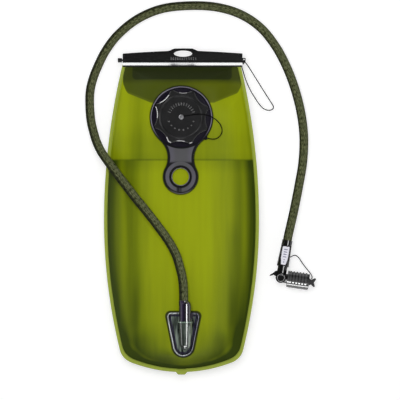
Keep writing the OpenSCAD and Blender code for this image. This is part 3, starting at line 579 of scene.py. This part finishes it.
def backUnder(y):
    # height of the back film's underside on the bag's middle line
    return (bag["seam"] - bag["film"]) * (1 - smoothStep((flap["topY"] - y) / bag["backRoll"]))


def sheetAlong(name, rows, columns, place):
    # closed sheet from two surfaces; place(i, j, side) gives half its width and a point's Y and Z
    wide, size = columns + 1, (rows + 1) * (columns + 1)
    verts, faces = [], []
    for side in (0, 1):
        for i in range(rows + 1):
            half, y, z = place(i / rows, side)
            verts += [((flap["middle"] + (2 * j / columns - 1) * half) * mm, y * mm, z * mm)
                      for j in range(wide)]
        for i in range(rows):
            for a in range(side * size + i * wide, side * size + i * wide + columns):
                faces.append((a, a + 1, a + wide + 1, a + wide))
    border = list(range(columns)) + [i * wide + columns for i in range(rows)]
    border += [rows * wide + j for j in range(columns, 0, -1)] + [i * wide for i in range(rows, 0, -1)]
    faces += [(a, c, size + c, size + a) for a, c in zip(border, border[1:] + border[:1])]
    return newMesh(name, verts, faces)


def flapEdge():
    # corner and sloping side of the flap's right half, as (distance from its middle, Y), from the foot up
    half, low = flap["width"] / 2, downFlap(flap["foot"])
    side, c, edge = low + flap["side"], flap["corner"], flap["edge"] / 2
    line = bezier((edge, low), (edge + 6, low + 0.6), (half - c, side - 3), 8)
    return line + bezier((half - c, side - 3), (half, side), (half, side + c), 9) + [(half, side + c)]


flapLine = flapEdge()


def flapPoint(i, side):
    # from the free edge (i = 0) up to the closure (i = 1)
    y = lerp(flapLine[0][1], flap["topY"] + flap["over"], i ** 0.8)
    half = float(np.interp(y, [q[1] for q in flapLine], [q[0] for q in flapLine]))
    return half, y, backUnder(y) - flap["gap"] - (0 if side else flap["sheet"])


def hemPoint(i, side):
    # round hem of the flap over the rod, open below it
    turn = radians(lerp(*flap["hemTurn"], i))
    r = flap["hem"] if side else flap["rod"] + 0.02
    return flap["width"] / 2, flap["rodY"] + r * sin(turn), flap["rodZ"] + r * cos(turn)


def stripPoint(i, side):
    # stiffener with rounded corners, just under the flap
    high, low, r = downFlap(flap["stripTop"]), downFlap(flap["stripFoot"]), flap["stripCorner"]
    y = lerp(low, high, i)
    cut = max(0.0, r - min(y - low, high - y))
    z = backUnder(y) - flap["gap"] - flap["sheet"] - 0.05 - (0 if side else flap["strip"])
    return flap["stripWidth"] / 2 - r + sqrt(max(0.0, r * r - cut * cut)), y, z


flapSheet = sheetAlong("flap_sheet", 40, 60, flapPoint)
hem = sheetAlong("flap_hem", 36, 8, hemPoint)
stripSheet = sheetAlong("stiffener_strip", 20, 60, stripPoint)
print("stage: flap and stiffener")


# finishes; from here on places on the surface are in mm
film = {"dark": (52, 66, 0), "mid": (102, 116, 2), "bright": (152, 165, 4), "weld": (154, 168, 64),
        "waterY": 67, "weldWide": 4.6, "flap": (73, 83, 12), "strip": (38, 45, 14)}
base = {"y": 122, "flange": 40.3, "tilt": -0.8, "handle": 77, "ring": 22.3, "waist": 30.7, "slitX": -3.4,
        "eye": 11.2, "threadFoot": 42.4}
shield = {"x": 2.4, "top": -129.9, "length": 58, "width": 43.2, "shoulder": 7, "lobe": 14, "rim": 3.6,
          "trayTop": 45, "mouthY": -143.5}
capLook = {"face": 27.2, "rim": 28.8, "top": 55.6}


def aroundBase(spot):
    # distances in plan from the middles of the cap, the ring's eye and the two circles that cut the waist
    reach, run = base["ring"] + base["waist"] - 0.1, base["flange"] + base["waist"] - 0.1
    down = (run ** 2 - reach ** 2 + base["handle"] ** 2) / (2 * base["handle"])
    across = sqrt(run ** 2 - down ** 2)
    c, s = cos(radians(base["tilt"])), sin(radians(base["tilt"]))
    return [farFrom(spot, x * c - y * s, base["y"] + x * s + y * c)
            for x, y in ((0, 0), (0, -base["handle"]), (-across, -down), (across, -down))]


def makeShieldGroup():
    # distance in plan out from the port's outline, negative inside it
    tree, given, out = newTree("from the port's outline", "Shader", ("Vector",), ("Distance",))
    x, y = split(given["Vector"])[:2]
    off = apart(x, shield["x"])
    r = shield["shoulder"]
    shoulderX, shoulderY = shield["width"] / 2 - r, shield["top"] - r
    lobeY = shield["top"] - shield["length"] + shield["lobe"]
    length = hypot(shoulderX, shoulderY - lobeY)
    lean = atan2(shoulderX, shoulderY - lobeY) - asin((shield["lobe"] - r) / length)
    outX, outY = cos(lean), -sin(lean)

    def along(ax, ay, start):
        return less(total(times(off, ax), times(y, ay)), start)
    side = most(along(outX, outY, outX * shoulderX + outY * shoulderY), 0.0)
    head = most(along(0.0, 1.0, shoulderY), 0.0)
    upper = less(calc("SQRT", total(times(side, side), times(head, head))), r)
    lobe = less(farFrom(given["Vector"], shield["x"], lobeY), shield["lobe"])
    lower = fade(along(-outY, outX, outX * lobeY), 0.2, -0.2)
    feed(out, {"Distance": pick(lower, lobe, upper)})
    return tree


shieldGroup = makeShieldGroup()


def filmShade(x, y, rim, swing, below):
    # how bright the filled film is, from 0 to 1, under the water line and over it: painted shade and
    # highlight of the filled bag over some random tone
    wide = calc("ABSOLUTE", x)
    bent = total(wide, times(swing, 16), times(x, -0.05))
    low = total(0.98, times(swing, 0.16), times(fade(y, 45, 67), -0.14),
                # painted shade down the sides, with a band of painted highlight along them
                times(fade(bent, 30, 56), -0.2), times(fade(bent, 50, 70), -0.3),
                times(bell(bent, 80, 8), 0.2), times(fade(y, -40, 0), bell(x, 66, 14), 0.16),
                times(fade(y, -70, -130), bell(bent, 64, 11), -0.2),
                # painted shade over the foot, with painted highlights on the curves of its corners
                times(fade(y, -40, -150), -0.14), times(fade(y, -172, -200), -0.34),
                times(fade(y, -135, -190), fade(wide, 0, 40), -0.36),
                times(fade(y, -175, -190), bell(x, -16, 30), -0.2),
                times(fade(y, -150, -168), bell(wide, 56, 20), -0.16),
                times(fade(y, -140, -170), bell(wide, 63, 12), 0.34),
                times(fade(wide, 30, 44), fade(y, -165, -180), bell(rim, 16.5, 6), 0.3))
    high = total(0.78, times(swing, 0.2), times(bell(x, -56, 14), -0.16), times(bell(wide, 74.5, 10), 0.08),
                 times(fade(y, 85, 125), 0.16), times(fade(y, 80, 68), -0.05))
    # painted shade in the crease inside the weld, the weld's edge and the water line
    return total(pick(below, low, high), times(fade(rim, 20, 9), below, -0.42), times(bell(rim, 6, 3), -0.14),
                 times(bell(y, film["waterY"], 2.2), -0.22))


# the flap as it shows through: its edge is straight, then slopes, then curves up at the corner
flapSeen = {"x": 1.3, "low": 141, "slopeFrom": 41, "slope": 0.42, "curveFrom": 69.8, "curve": 0.19,
            "half": 77.4, "foldFrom": 164, "foldTo": 173}
stripSeen = {"X": 0.8, "Y": 181.6, "Half width": 64.5, "Half height": 10.3, "Corner": 5, "Soft": 0.7}


def paintFlap(colour, spot, x, y, swing):
    # flap and stiffener, dark through both films, the flap with painted shade on its left side
    f = flapSeen
    off = apart(x, f["x"])
    slope = times(most(less(off, f["slopeFrom"]), 0.0), f["slope"])
    corner = most(less(off, f["curveFrom"]), 0.0)
    fromEdge = less(y, total(f["low"], slope, times(corner, corner, f["curve"])))
    behind = times(fade(fromEdge, -0.9, 0.9), fade(off, f["half"] + 0.8, f["half"] - 0.8))
    # painted shade: the flap darker on its left than on its right
    shade = mix(fade(x, -10, 30), film["flap"], (89, 98, 6))
    shade = mix(fade(y, f["foldFrom"], f["foldTo"]), shade, (56, 64, 11))
    colour = mix(behind, colour, mix(times(swing, 0.5), shade, (92, 104, 14)))
    colour = mix(times(bell(fromEdge, 1.6, 1.6), behind, 0.35), colour, (110, 120, 24))
    return mix(useGroup(patchGroup, {"Vector": spot, **stripSeen})["Mask"], colour, film["strip"])


def paintOutlineShadow(colour, spot, x, y):
    # painted shadow: a dark line on the film round the port and along the base's outline
    wide = 1.7
    cap, eye, *waists = aroundBase(spot)
    between = times(fade(y, 56, 59), fade(y, 93, 90), fade(calc("ABSOLUTE", x), 36, 32))
    line = most(fade(useGroup(shieldGroup, {"Vector": spot})["Distance"], 2.1, 1.1),
                bell(cap, base["flange"] + 0.3, wide), bell(eye, base["ring"] + 0.3, wide),
                *(times(bell(waist, base["waist"] - 0.3, wide), between) for waist in waists))
    return mix(times(line, 0.88), colour, (20, 22, 10))


def filmMaterial(name, filled):
    # lime film: pale weld with painted shade in the crease inside it and, where it is filled, all that the
    # front film shows
    material, shader, place = newMaterial(name, (134, 148, 22), 0.42, specular=0.05)
    rim = split(inMm(uvMap(place, "rim")))[1]
    spot = inMm(place)
    x, y = split(spot)[:2]
    drift = stretched(place, (1.0, 0.12, 1.0), 26.0)
    streak = stretched(place, (1.0, 0.06, 1.0), 150.0)
    swing = less(drift, 0.5)
    if filled:
        below = fade(y, film["waterY"] + 1, film["waterY"] - 2)
        value = total(filmShade(x, y, rim, swing, below), times(less(streak, 0.5), 0.2))
    else:
        # painted shade in the crease inside the weld
        value = total(0.8, times(swing, 0.3), times(bell(rim, 8.2, 4.4), -0.3))
    ramp = place.id_data.nodes.new("ShaderNodeValToRGB")
    feed(ramp.inputs, {"Fac": value})
    stops = ramp.color_ramp.elements
    stops.new(0.5)
    for stop, key in zip(stops, ("dark", "mid", "bright")):
        stop.color = srgb(*film[key])
    colour = ramp.outputs["Color"]
    if filled:
        colour = paintOutlineShadow(paintFlap(colour, spot, x, y, swing), spot, x, y)
    colour = mix(fade(rim, film["weldWide"], film["weldWide"] - 0.6), colour, film["weld"])
    colour = mix(times(bell(rim, 3.6, 0.7), 0.5), colour, (104, 116, 34))
    height = total(times(noiseAt(place, 1400.0), 0.00002), times(streak, 0.00005), times(drift, 0.0004))
    feed(shader, {"Base Color": colour, "Normal": bumped(height, 1.0, 0.6),
                  "Roughness": total(times(drift, 0.16), 0.46)})
    return material


def dressBase():
    # violet grey moulding, with painted shade near black in the well round the cap and along its outline, and
    # painted highlights on its pale edges
    material, shader, place = newMaterial("violet grey nylon", (66, 65, 72), 0.32, 0.2, (0, 0.12, 1.5))
    mask = grained(shader, place, 800.0, 0.34, 0.14)
    spot = inMm(place)
    x, y = split(spot)[:2]
    fromCap, fromEye, left, right = aroundBase(spot)
    flange, ring, slitX, eye = base["flange"], base["ring"], base["slitX"], base["eye"]
    # painted shade: the slit's two dark lines, the handle's dark outline and the dark ring round the eye
    slit = most(bell(x, slitX - 0.9, 3.2), times(bell(x, slitX + 2.7, 1.8), 0.8))
    outline = most(fade(calc("MINIMUM", left, right), base["waist"] + 3.4, base["waist"] + 2.2),
                   times(fade(fromEye, ring - 3.3, ring - 2.2), fade(y, 66, 62)),
                   fade(apart(fromEye, eye + 1.9), 2.1, 1.2), times(slit, fade(y, 33.5, 32.5)),
                   fade(apart(fromCap, flange - 1), 1.6, 1.2))
    # painted shade in the well round the cap
    well = fade(fromCap, flange - 1.4, flange - 2.4)
    tone = mix(mask, (70, 68, 77), (92, 90, 101))
    tone = mix(times(fade(calc("ABSOLUTE", x), 13, 6), 0.7), tone, (72, 73, 72))
    tone = mix(well, mix(outline, tone, (6, 5, 9)), (19, 13, 32))
    # painted highlight: pale lines round the eye and along the upper part of the rim
    upper = fade(y, base["y"] - 30, base["y"] - 10)
    edge = most(times(bell(fromEye, eye, 0.8), 0.8), times(bell(fromCap, flange - 1.2, 0.9), upper, 0.85))
    feed(shader, {"Base Color": mix(edge, tone, (138, 134, 148)),
                  "Coat Weight": times(less(1.0, most(outline, well)), 0.25)})
    return material


def dressPort():
    # smoky clear moulding: glossy, with pale and dark streaks along the socket and a deep tone in the tray;
    # painted shade on the socket's left, a painted reflection on its right and painted highlights on its
    # mouth and along its rim
    material, shader, place = newMaterial("smoke clear plastic", (70, 78, 72), 0.16, 0.2, (0, 0.05, 1.8))
    streaks = stretched(place, (1.0, 0.1, 0.6), 330.0, 3.0)
    spot = inMm(place)
    x, y, z = split(spot)
    inward = times(useGroup(shieldGroup, {"Vector": spot})["Distance"], -1.0)
    housing = fade(z, shield["trayTop"] - 0.5, shield["trayTop"] + 0.5)
    left = fade(x, 5, 2)
    tray = mix(fade(streaks, 0.4, 0.62), (24, 32, 27), (128, 142, 130))
    tray = mix(bell(inward, 4.6, 2.6), tray, (34, 27, 52))
    tone = mix(fade(streaks, 0.36, 0.66), (40, 48, 43), (108, 118, 110))
    # painted shade on the socket's left side
    tone = mix(times(left, 0.75), tone, (30, 38, 32))
    # painted reflection: a pale streaked band down the socket's right
    tone = mix(times(bell(x, 11.2, 3.6), fade(streaks, 0.4, 0.56), 0.8), tone, (168, 182, 172))
    # painted highlight on the socket's mouth
    tone = mix(fade(y, shield["mouthY"] - 0.2, shield["mouthY"] + 0.2), tone, (122, 140, 126))
    # painted highlight along the rim, white on its left side and dim on its right
    line = times(bell(inward, 1.6, 1.2), fade(streaks, 0.1, 0.62))
    rim = mix(line, (16, 15, 22), mix(fade(x, 4, 16), (198, 204, 206), (92, 92, 108)))
    onRim = fade(inward, shield["rim"], shield["rim"] - 0.6)
    feed(shader, {"Base Color": mix(onRim, mix(housing, tray, tone), rim),
                  "Coat Weight": total(times(housing, less(1.0, left), 0.7), 0.06)})
    grained(shader, place, 500.0, 0.22, 0.1)
    return material


def dressPlug():
    # violet black gloss, polished along the side that faces the light and duller along the other, with a
    # painted reflection down its left side
    material, shader, place = newMaterial("violet black gloss", (21, 13, 31), 0.3, 0.12, (0, 0.05, 2.0))
    tone = mix(grained(shader, place, 700.0, 0.34, 0.1), (17, 11, 24), (27, 17, 38))
    x = split(inMm(place))[0]
    # painted reflection: a paler violet band down the plug's left side
    feed(shader, {"Base Color": mix(times(bell(x, 0.5, 2.8), 0.5), tone, (62, 48, 84)),
                  "Coat Weight": fade(x, 3.5, 5.5)})
    return material


def dressShield():
    # ribbed rubber: painted shade near black in the grooves, the ribs greyer and glossier
    material, shader, place = newMaterial("ribbed black rubber", (34, 34, 35), 0.42, 0.3, (0, 0.12, 1.9))
    tone = mix(grained(shader, place, 1400.0, 0.42, 0.14, 0.00003), (44, 44, 45), (66, 66, 67))
    turn = radians(valve["mouthTurn"])
    out = vectorCalc("SUBTRACT", inMm(place), tuple(valve["elbow"]))
    far = vectorCalc("LENGTH", vectorCalc("CROSS_PRODUCT", out, (cos(turn), sin(turn), 0.0)))
    # painted shade: near black away from the crests of the ribs
    crest = fade(far, 10.1, 10.8)
    feed(shader, {"Base Color": mix(crest, (8, 8, 8), tone), "Coat Weight": crest})
    return material


def dressCap():
    # black moulding: satin face, glossy scallops and rim, and a broken paler ring round the face
    material, shader, place = newMaterial("cap black", (19, 19, 20), 0.34, 0.12, (0, 0.07, 1.9))
    grained(shader, place, 900.0, 0.38, 0.16)
    out = farFrom(inMm(place), 0.0, base["y"])
    faceNoise = noiseAt(place, 70.0, 4.0)
    paleFaceRing = times(bell(out, capLook["face"], 1.2), fade(faceNoise, 0.44, 0.6), 0.2)
    feed(shader, {"Base Color": mix(paleFaceRing, mix(faceNoise, (12, 12, 13), (34, 34, 35)), (80, 80, 84)),
                  "Coat Weight": times(fade(out, capLook["rim"], capLook["rim"] + 1.8), 0.34)})
    return material


def dressBraid(name, colour, roughness, strands, pitch, dark, light, gap, depth, edges=False):
    # woven cover: slanting strands, worn in patches, dark in the gaps
    material, shader, place = newMaterial(name, colour, roughness, specular=0.02)
    uv = uvMap(place, "along")
    weave = useGroup(braidGroup, {"Vector": uv, "Strands": strands, "Pitch": pitch})
    tone = stretched(uv, (34.0, 230.0, 1.0), 1.0, 3.0)
    worn = total(times(fade(tone, 0.36, 0.64), 0.75), times(weave["Pick"], 0.25))
    colour = mix(times(weave["Gap"], 0.6), mix(worn, dark, light), gap)
    if edges:
        # painted shade on the side that lies away from the light: the outer one up to the head, the inner one
        # after it; a painted highlight along the lit side
        around, along = split(uv)[:2]
        after = fade(along, 0.5, 0.62)
        dim = pick(after, fade(around, 0.17, 0.1), fade(around, 0.28, 0.35))
        lit = pick(after, bell(around, 0.335, 0.07), bell(around, 0.155, 0.06))
        colour = mix(times(lit, 0.25), mix(times(dim, 0.8), colour, gap), (122, 128, 96))
    feed(shader, {"Base Color": colour, "Normal": bumped(weave["Height"], depth)})
    return material


filmFront = filmMaterial("lime film, filled", True)
filmBack = filmMaterial("lime film", False)
blackSatin = moulded("satin black plastic", (13, 13, 14), 0.3, 0.08, specular=0.2, coat=(1.0, 0.15, 1.7))
rodBlack = moulded("rod black", (13, 13, 14), 0.34, 0.08, specular=0.2)
violetNylon = dressBase()
capBlack = dressCap()
silicone = moulded("white silicone", (206, 206, 198), 0.5)
pinSteel = moulded("pin steel", (112, 112, 114), 0.5, 0.08, mottle=0.04, metallic=1.0)
springSteel = moulded("spring steel", (176, 176, 180), 0.3, 0.08, mottle=0.04, metallic=1.0)
portGrey = dressPort()
plugGloss = dressPlug()
buttonGloss = moulded("button black", (24, 17, 34), 0.3, 0.06, coat=(0.8, 0.08, 1.5))
valveBlack = moulded("valve black", (9, 9, 10), 0.3, 0.08, specular=0.1, coat=(0.75, 0.05, 1.7))
rubber = moulded("soft black rubber", (34, 34, 35), 0.5, 0.14, scale=1400.0, depth=0.00003)
ribbedRubber = dressShield()
ringRubber = moulded("seal rubber", (26, 26, 27), 0.55)
plateGrey = moulded("pale plate", (228, 227, 237), 0.34, mottle=0.03)
poppetWhite = moulded("white acetal", (216, 216, 214), 0.35)
biteClear = moulded("smoke silicone", (96, 98, 100), 0.4)
flapLime = moulded("folded lime film", (128, 142, 26), 0.4, mottle=0.1)
stripBlack = moulded("stiffener sheet", (32, 36, 20), 0.45)
cordBlack = dressBraid("braided cord", (22, 22, 22), 0.6, 6.0, 0.0011, (4, 4, 5), (12, 12, 13), (2, 2, 2),
                       0.00012)
hoseCover = dressBraid("woven hose cover", (76, 81, 48), 0.72, 14.0, 0.0056, (36, 40, 20), (116, 121, 84),
                       (14, 17, 7), 0.0004, edges=True)

nodeFinish = {
    "closure_rod": rodBlack, "slider": blackSatin, "fill_base": violetNylon, "fill_cap": capBlack,
    "cap_gasket": silicone, "cap_pin": pinSteel, "port_base": portGrey, "port_poppet": poppetWhite,
    "poppet_seal": ringRubber, "port_spring": springSteel, "drink_plug": plugGloss, "plug_o_ring": ringRubber,
    "release_button": buttonGloss, "button_spring": springSteel, "hose_ferrule": valveBlack,
    "valve_sleeve": valveBlack, "swivel_o_ring": ringRubber, "label_plate": plateGrey,
    "valve_elbow": valveBlack, "mouthpiece": rubber, "bite_membrane": biteClear, "dirt_shield": ribbedRubber}
for name, material in nodeFinish.items():
    for materialSlot in nodes[name].material_slots:
        materialSlot.material = material
    if not nodes[name].material_slots:
        nodes[name].data.materials.append(material)
for obj, material in ((frontFilm, filmFront), (backFilm, filmBack), (flapSheet, flapLime), (hem, flapLime),
                      (stripSheet, stripBlack), (hoseTube, hoseCover)):
    obj.data.materials.append(material)
for obj in cordTubes.values():
    obj.data.materials.append(cordBlack)
print("stage: finishes")


# raised marks and rings by geometry nodes: a row or an arc of rounded bars, domes where they are short
def makeDetailTree(name, inputs, build):
    # build(given, node) gives the geometry, before it is made real and gets its finish
    tree, given, out = newTree(name, "Geometry", (*inputs, "Finish"), ("Geometry",))

    def node(kind, inputs=None, family="GeometryNode"):
        return addNode(tree, family + kind, inputs)[0]
    real = node("RealizeInstances", {0: build(given, node)})
    feed(out, {0: node("SetMaterial", {"Geometry": real, "Material": given["Finish"]})})
    return tree


def buildMarks(given, node):
    def vector(parts):
        return node("CombineXYZ", parts, "ShaderNode")
    line = node("MeshLine", {"Count": given["Count"], "Offset": (0.0, 0.0, 0.0)})
    index, last = node("InputIndex"), less(given["Count"], 1.0)
    turn = calc("MULTIPLY_ADD", calc("DIVIDE", index, last), given["Sweep"], given["Start"])
    along = times(less(index, times(last, 0.5)), given["Step"])
    x = calc("MULTIPLY_ADD", calc("COSINE", turn), given["Radius"], along)
    spot = vector({0: x, 1: times(calc("SINE", turn), given["Radius"])})
    half = times(given["Width"], 0.5)
    ball = node("MeshUVSphere", {"Segments": 12, "Rings": 8, "Radius": half})
    both = ball.id_data.nodes.new("GeometryNodeJoinGeometry")
    for side in (-0.5, 0.5):
        shift = vector({1: times(less(given["Length"], given["Width"]), side)})
        feed(both.inputs, {0: node("Transform", {"Geometry": ball, "Translation": shift})})
    bar = node("Transform", {"Geometry": node("ConvexHull", {0: both.outputs[0]}),
                             "Scale": vector({0: 1.0, 1: 1.0, 2: calc("DIVIDE", given["Height"], half)})})
    return node("InstanceOnPoints", {"Points": node("SetPosition", {"Geometry": line, "Position": spot}),
                                     "Instance": bar, "Rotation": vector({2: less(turn, pi / 2)})})


def buildThread(given, node):
    spiral = node("CurveSpiral", {"Resolution": 96, "Rotations": given["Turns"], "Height": given["Rise"],
                                  "Start Radius": given["Radius"], "End Radius": given["Radius"]})
    wire = node("CurvePrimitiveCircle", {"Resolution": 10, "Radius": given["Wire"]})
    return node("CurveToMesh", {"Curve": spiral, "Profile Curve": wire, "Fill Caps": True})


def fromTree(name, tree, values, finish, place, body, slot):
    # plain mesh of a tree's result, set in its place, on a body
    values = dict(values, Finish=finish)
    obj = newObject(name, bpy.data.meshes.new(name))
    maker = obj.modifiers.new("maker", "NODES")
    maker.node_group = tree
    for item in tree.interface.items_tree:
        if item.in_out == "INPUT":
            maker[item.identifier] = values[item.name]
    applyModifiers(obj)
    obj.data.transform(place)
    smoothMesh(obj.data)
    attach(obj, body)


def at(point):
    return Matrix.Translation(Vector(point) * mm)


def onPlate(s):
    # flat on the plate, s along the sleeve from the elbow, with the row running along the sleeve
    spot = onSleeve(s)
    turn = Matrix.Rotation(radians(valve["sleeveTurn"] + 90), 4, "Z")
    return at((spot.x, spot.y, valve["plateTop"])) @ turn, "valve", "plate_plastic"


sliderLook = {"face": (2.5, 198.5, 24.52), "lean": -2.9}
sliderFace = at(sliderLook["face"]) @ Matrix.Rotation(radians(sliderLook["lean"]), 4, "X")
capFace = at((0, base["y"], capLook["top"]))
onCap = (capFace, "cap", "cap_plastic")
markGrey = moulded("pale marks", (126, 124, 152), 0.4)
markBlack = moulded("raised black marks", (54, 54, 55), 0.35, coat=(0.4, 0.14, 1.7))
# painted highlight: the raised ring round the elbow's boss is pale grey where its glint would be
glintRingGrey = moulded("ring gloss", (96, 96, 98), 0.3, coat=(1.0, 0.05, 1.9))
marksTree = makeDetailTree(
    "raised marks", ("Count", "Radius", "Start", "Sweep", "Step", "Length", "Width", "Height"), buildMarks)
threadTree = makeDetailTree("screw thread", ("Turns", "Radius", "Rise", "Wire"), buildThread)
# each row: count; length, width, height, step and arc radius in mm; the arc's start and sweep in degrees;
# finish, place, body and slot
for name, count, sizes, start, sweep, finish, *where in (
        ("cap_ticks", 13, (4.2, 1.3, 0.45, 0, 16.8), 22, 136, markBlack, *onCap),
        ("cap_dots", 8, (2.2, 2.2, 0.5, 0, 16.8), 200, 140, markBlack, *onCap),
        ("slider_ticks", 12, (3.8, 1.4, 0.6, 2.9, 0), 90, 0, markBlack,
         sliderFace, "slider", "slider_plastic"),
        ("plate_bars", 4, (4.6, 1.4, 0.15, 3.2, 0), 90, 0, markGrey, *onPlate(32.6)),
        ("plate_dots", 2, (1.8, 1.8, 0.15, 3.0, 0), 90, 0, markGrey, *onPlate(22.6))):
    values = {key: size * mm for key, size in zip(("Length", "Width", "Height", "Step", "Radius"), sizes)}
    values.update(Count=count, Start=radians(start), Sweep=radians(sweep))
    fromTree(name, marksTree, values, finish, *where)
fromTree("elbow_ring", threadTree, {"Turns": 1.0, "Radius": 0.0046, "Rise": 0.0, "Wire": 0.00045}, glintRingGrey,
         at(valve["elbow"] + Vector((0, 0, valve["bossUp"]))), "valve", "valve_plastic")
fromTree("neck_thread", threadTree, {"Turns": 2.25, "Radius": 0.0259, "Rise": 0.0075, "Wire": 0.0004},
         violetNylon, at((0, base["y"], base["threadFoot"])), "bag", "port_plastic")
print("stage: ticks, dots and thread")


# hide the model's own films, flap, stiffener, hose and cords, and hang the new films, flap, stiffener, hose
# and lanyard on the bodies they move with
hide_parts("front_film")
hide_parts("back_film")
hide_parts("fold_flap")
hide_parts("mouth_stiffener")
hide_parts("drink_hose")
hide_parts("slider_lanyard")
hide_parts("cap_leash")
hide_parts("shield_leash")
for obj, slot in ((frontFilm, "film"), (backFilm, "film"), (flapSheet, "fold"), (hem, "fold"),
                  (stripSheet, "stiffener")):
    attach(obj, "bag")
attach(hoseTube, "hose_line")
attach(cordTubes["lanyard"], "slider")
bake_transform(cordTubes["cap_cord"])
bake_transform(cordTubes["shield_cord"], "valve", "dirt_shield", start=tuple(cordPaths["shield_cord"][0]),
         end=tuple(cordPaths["shield_cord"][-1]))
tuple(hosePath[0])
round(pathLength(hosePath), 3)
[tuple(p) for p in hosePath]
for name, obj in cordTubes.items():
    tuple(cordPaths[name][0])
    round(pathLength(cordPaths[name]), 4)
    [tuple(p) for p in cordPaths[name]]


# floor, lights and surroundings
def makeFloor(size=3.0, z=-0.0005):
    # white to the camera, grey to everything else
    mesh = bpy.data.meshes.new("floor")
    mesh.from_pydata([(-size, -size, z), (size, -size, z), (size, size, z), (-size, size, z)],
                     [], [(0, 1, 2, 3)])
    floor = newObject("floor", mesh)
    material, shader = newMaterial("white floor", (0, 0, 0), 0.9)[:2]
    feed(shader, {"Base Color": (0.8, 0.8, 0.8, 1)})
    tree = material.node_tree
    lift = addNode(tree, "ShaderNodeEmission", {"Color": (1, 1, 1, 1), "Strength": 0.62})[0]
    pale = addNode(tree, "ShaderNodeBsdfDiffuse", {"Color": (0.5, 0.5, 0.5, 1)})[0]
    both = addNode(tree, "ShaderNodeAddShader", {0: pale, 1: lift})[0]
    plain = tree.nodes["Principled BSDF"].outputs[0]
    seen = addNode(tree, "ShaderNodeLightPath")["Is Camera Ray"]
    feed(tree.nodes["Material Output"].inputs,
         {"Surface": addNode(tree, "ShaderNodeMixShader", {0: seen, 1: plain, 2: both})[0]})
    mesh.materials.append(material)


def softbox(name, side, tilt, wide, high, bright, mirrorOnly=True):
    # area light towards a side (degrees from +X), tilted off the vertical, its long edge across the side;
    # the top light lights and the others are what glossy surfaces mirror
    turn, lean, far = radians(side), radians(tilt), 1.5
    aim = Vector((0.01, 0.0, 0.02))
    away = Vector((sin(lean) * cos(turn), sin(lean) * sin(turn), cos(lean)))
    data = bpy.data.lights.new(name, "AREA")
    data.shape = "RECTANGLE"
    data.size, data.size_y = wide, high
    data.energy = bright * pi * wide * high
    light = newObject(name, data)
    across = Vector((-sin(turn), cos(turn), 0))
    light.matrix_world = Matrix.Translation(aim + away * far) @ Matrix(
        (across, away.cross(across), away)).transposed().to_4x4()
    light.visible_camera = False
    light.visible_diffuse = not mirrorOnly
    light.visible_glossy = mirrorOnly


makeFloor()
softbox("top light", 115, 10, 0.8, 0.8, 6.4, mirrorOnly=False)
softbox("foot strip", -90, 45, 1.6, 0.42, 13)
softbox("low foot strip", -95, 80, 0.6, 0.24, 12)
softbox("left strip", 185, 78, 1.0, 0.3, 14)
softbox("upper left strip", 128, 77, 0.8, 0.3, 14)
softbox("head strip", 90, 78, 0.5, 0.2, 6)
softbox("right strip", 0, 29, 1.2, 0.42, 11)

# surroundings: white where they are seen, dimmer and darker overhead in what they light and what mirrors them
world = bpy.data.worlds.new("studio")
bpy.context.scene.world = world
world.use_nodes = True
sky = world.node_tree
rays = addNode(sky, "ShaderNodeLightPath")
height = split(addNode(sky, "ShaderNodeTexCoord")["Generated"])[2]
mirror = total(times(fade(height, 0.5, 0.05), 0.92), 0.05)
level = pick(rays["Is Glossy Ray"], mirror, 0.36)
level = pick(most(rays["Is Camera Ray"], rays["Is Transmission Ray"]), 1.0, level)
feed(sky.nodes["Background"].inputs, {"Strength": level, "Color": (1, 1, 1, 1)})
bpy.context.scene.view_settings.view_transform = "Standard"
print("stage: floor and lights")
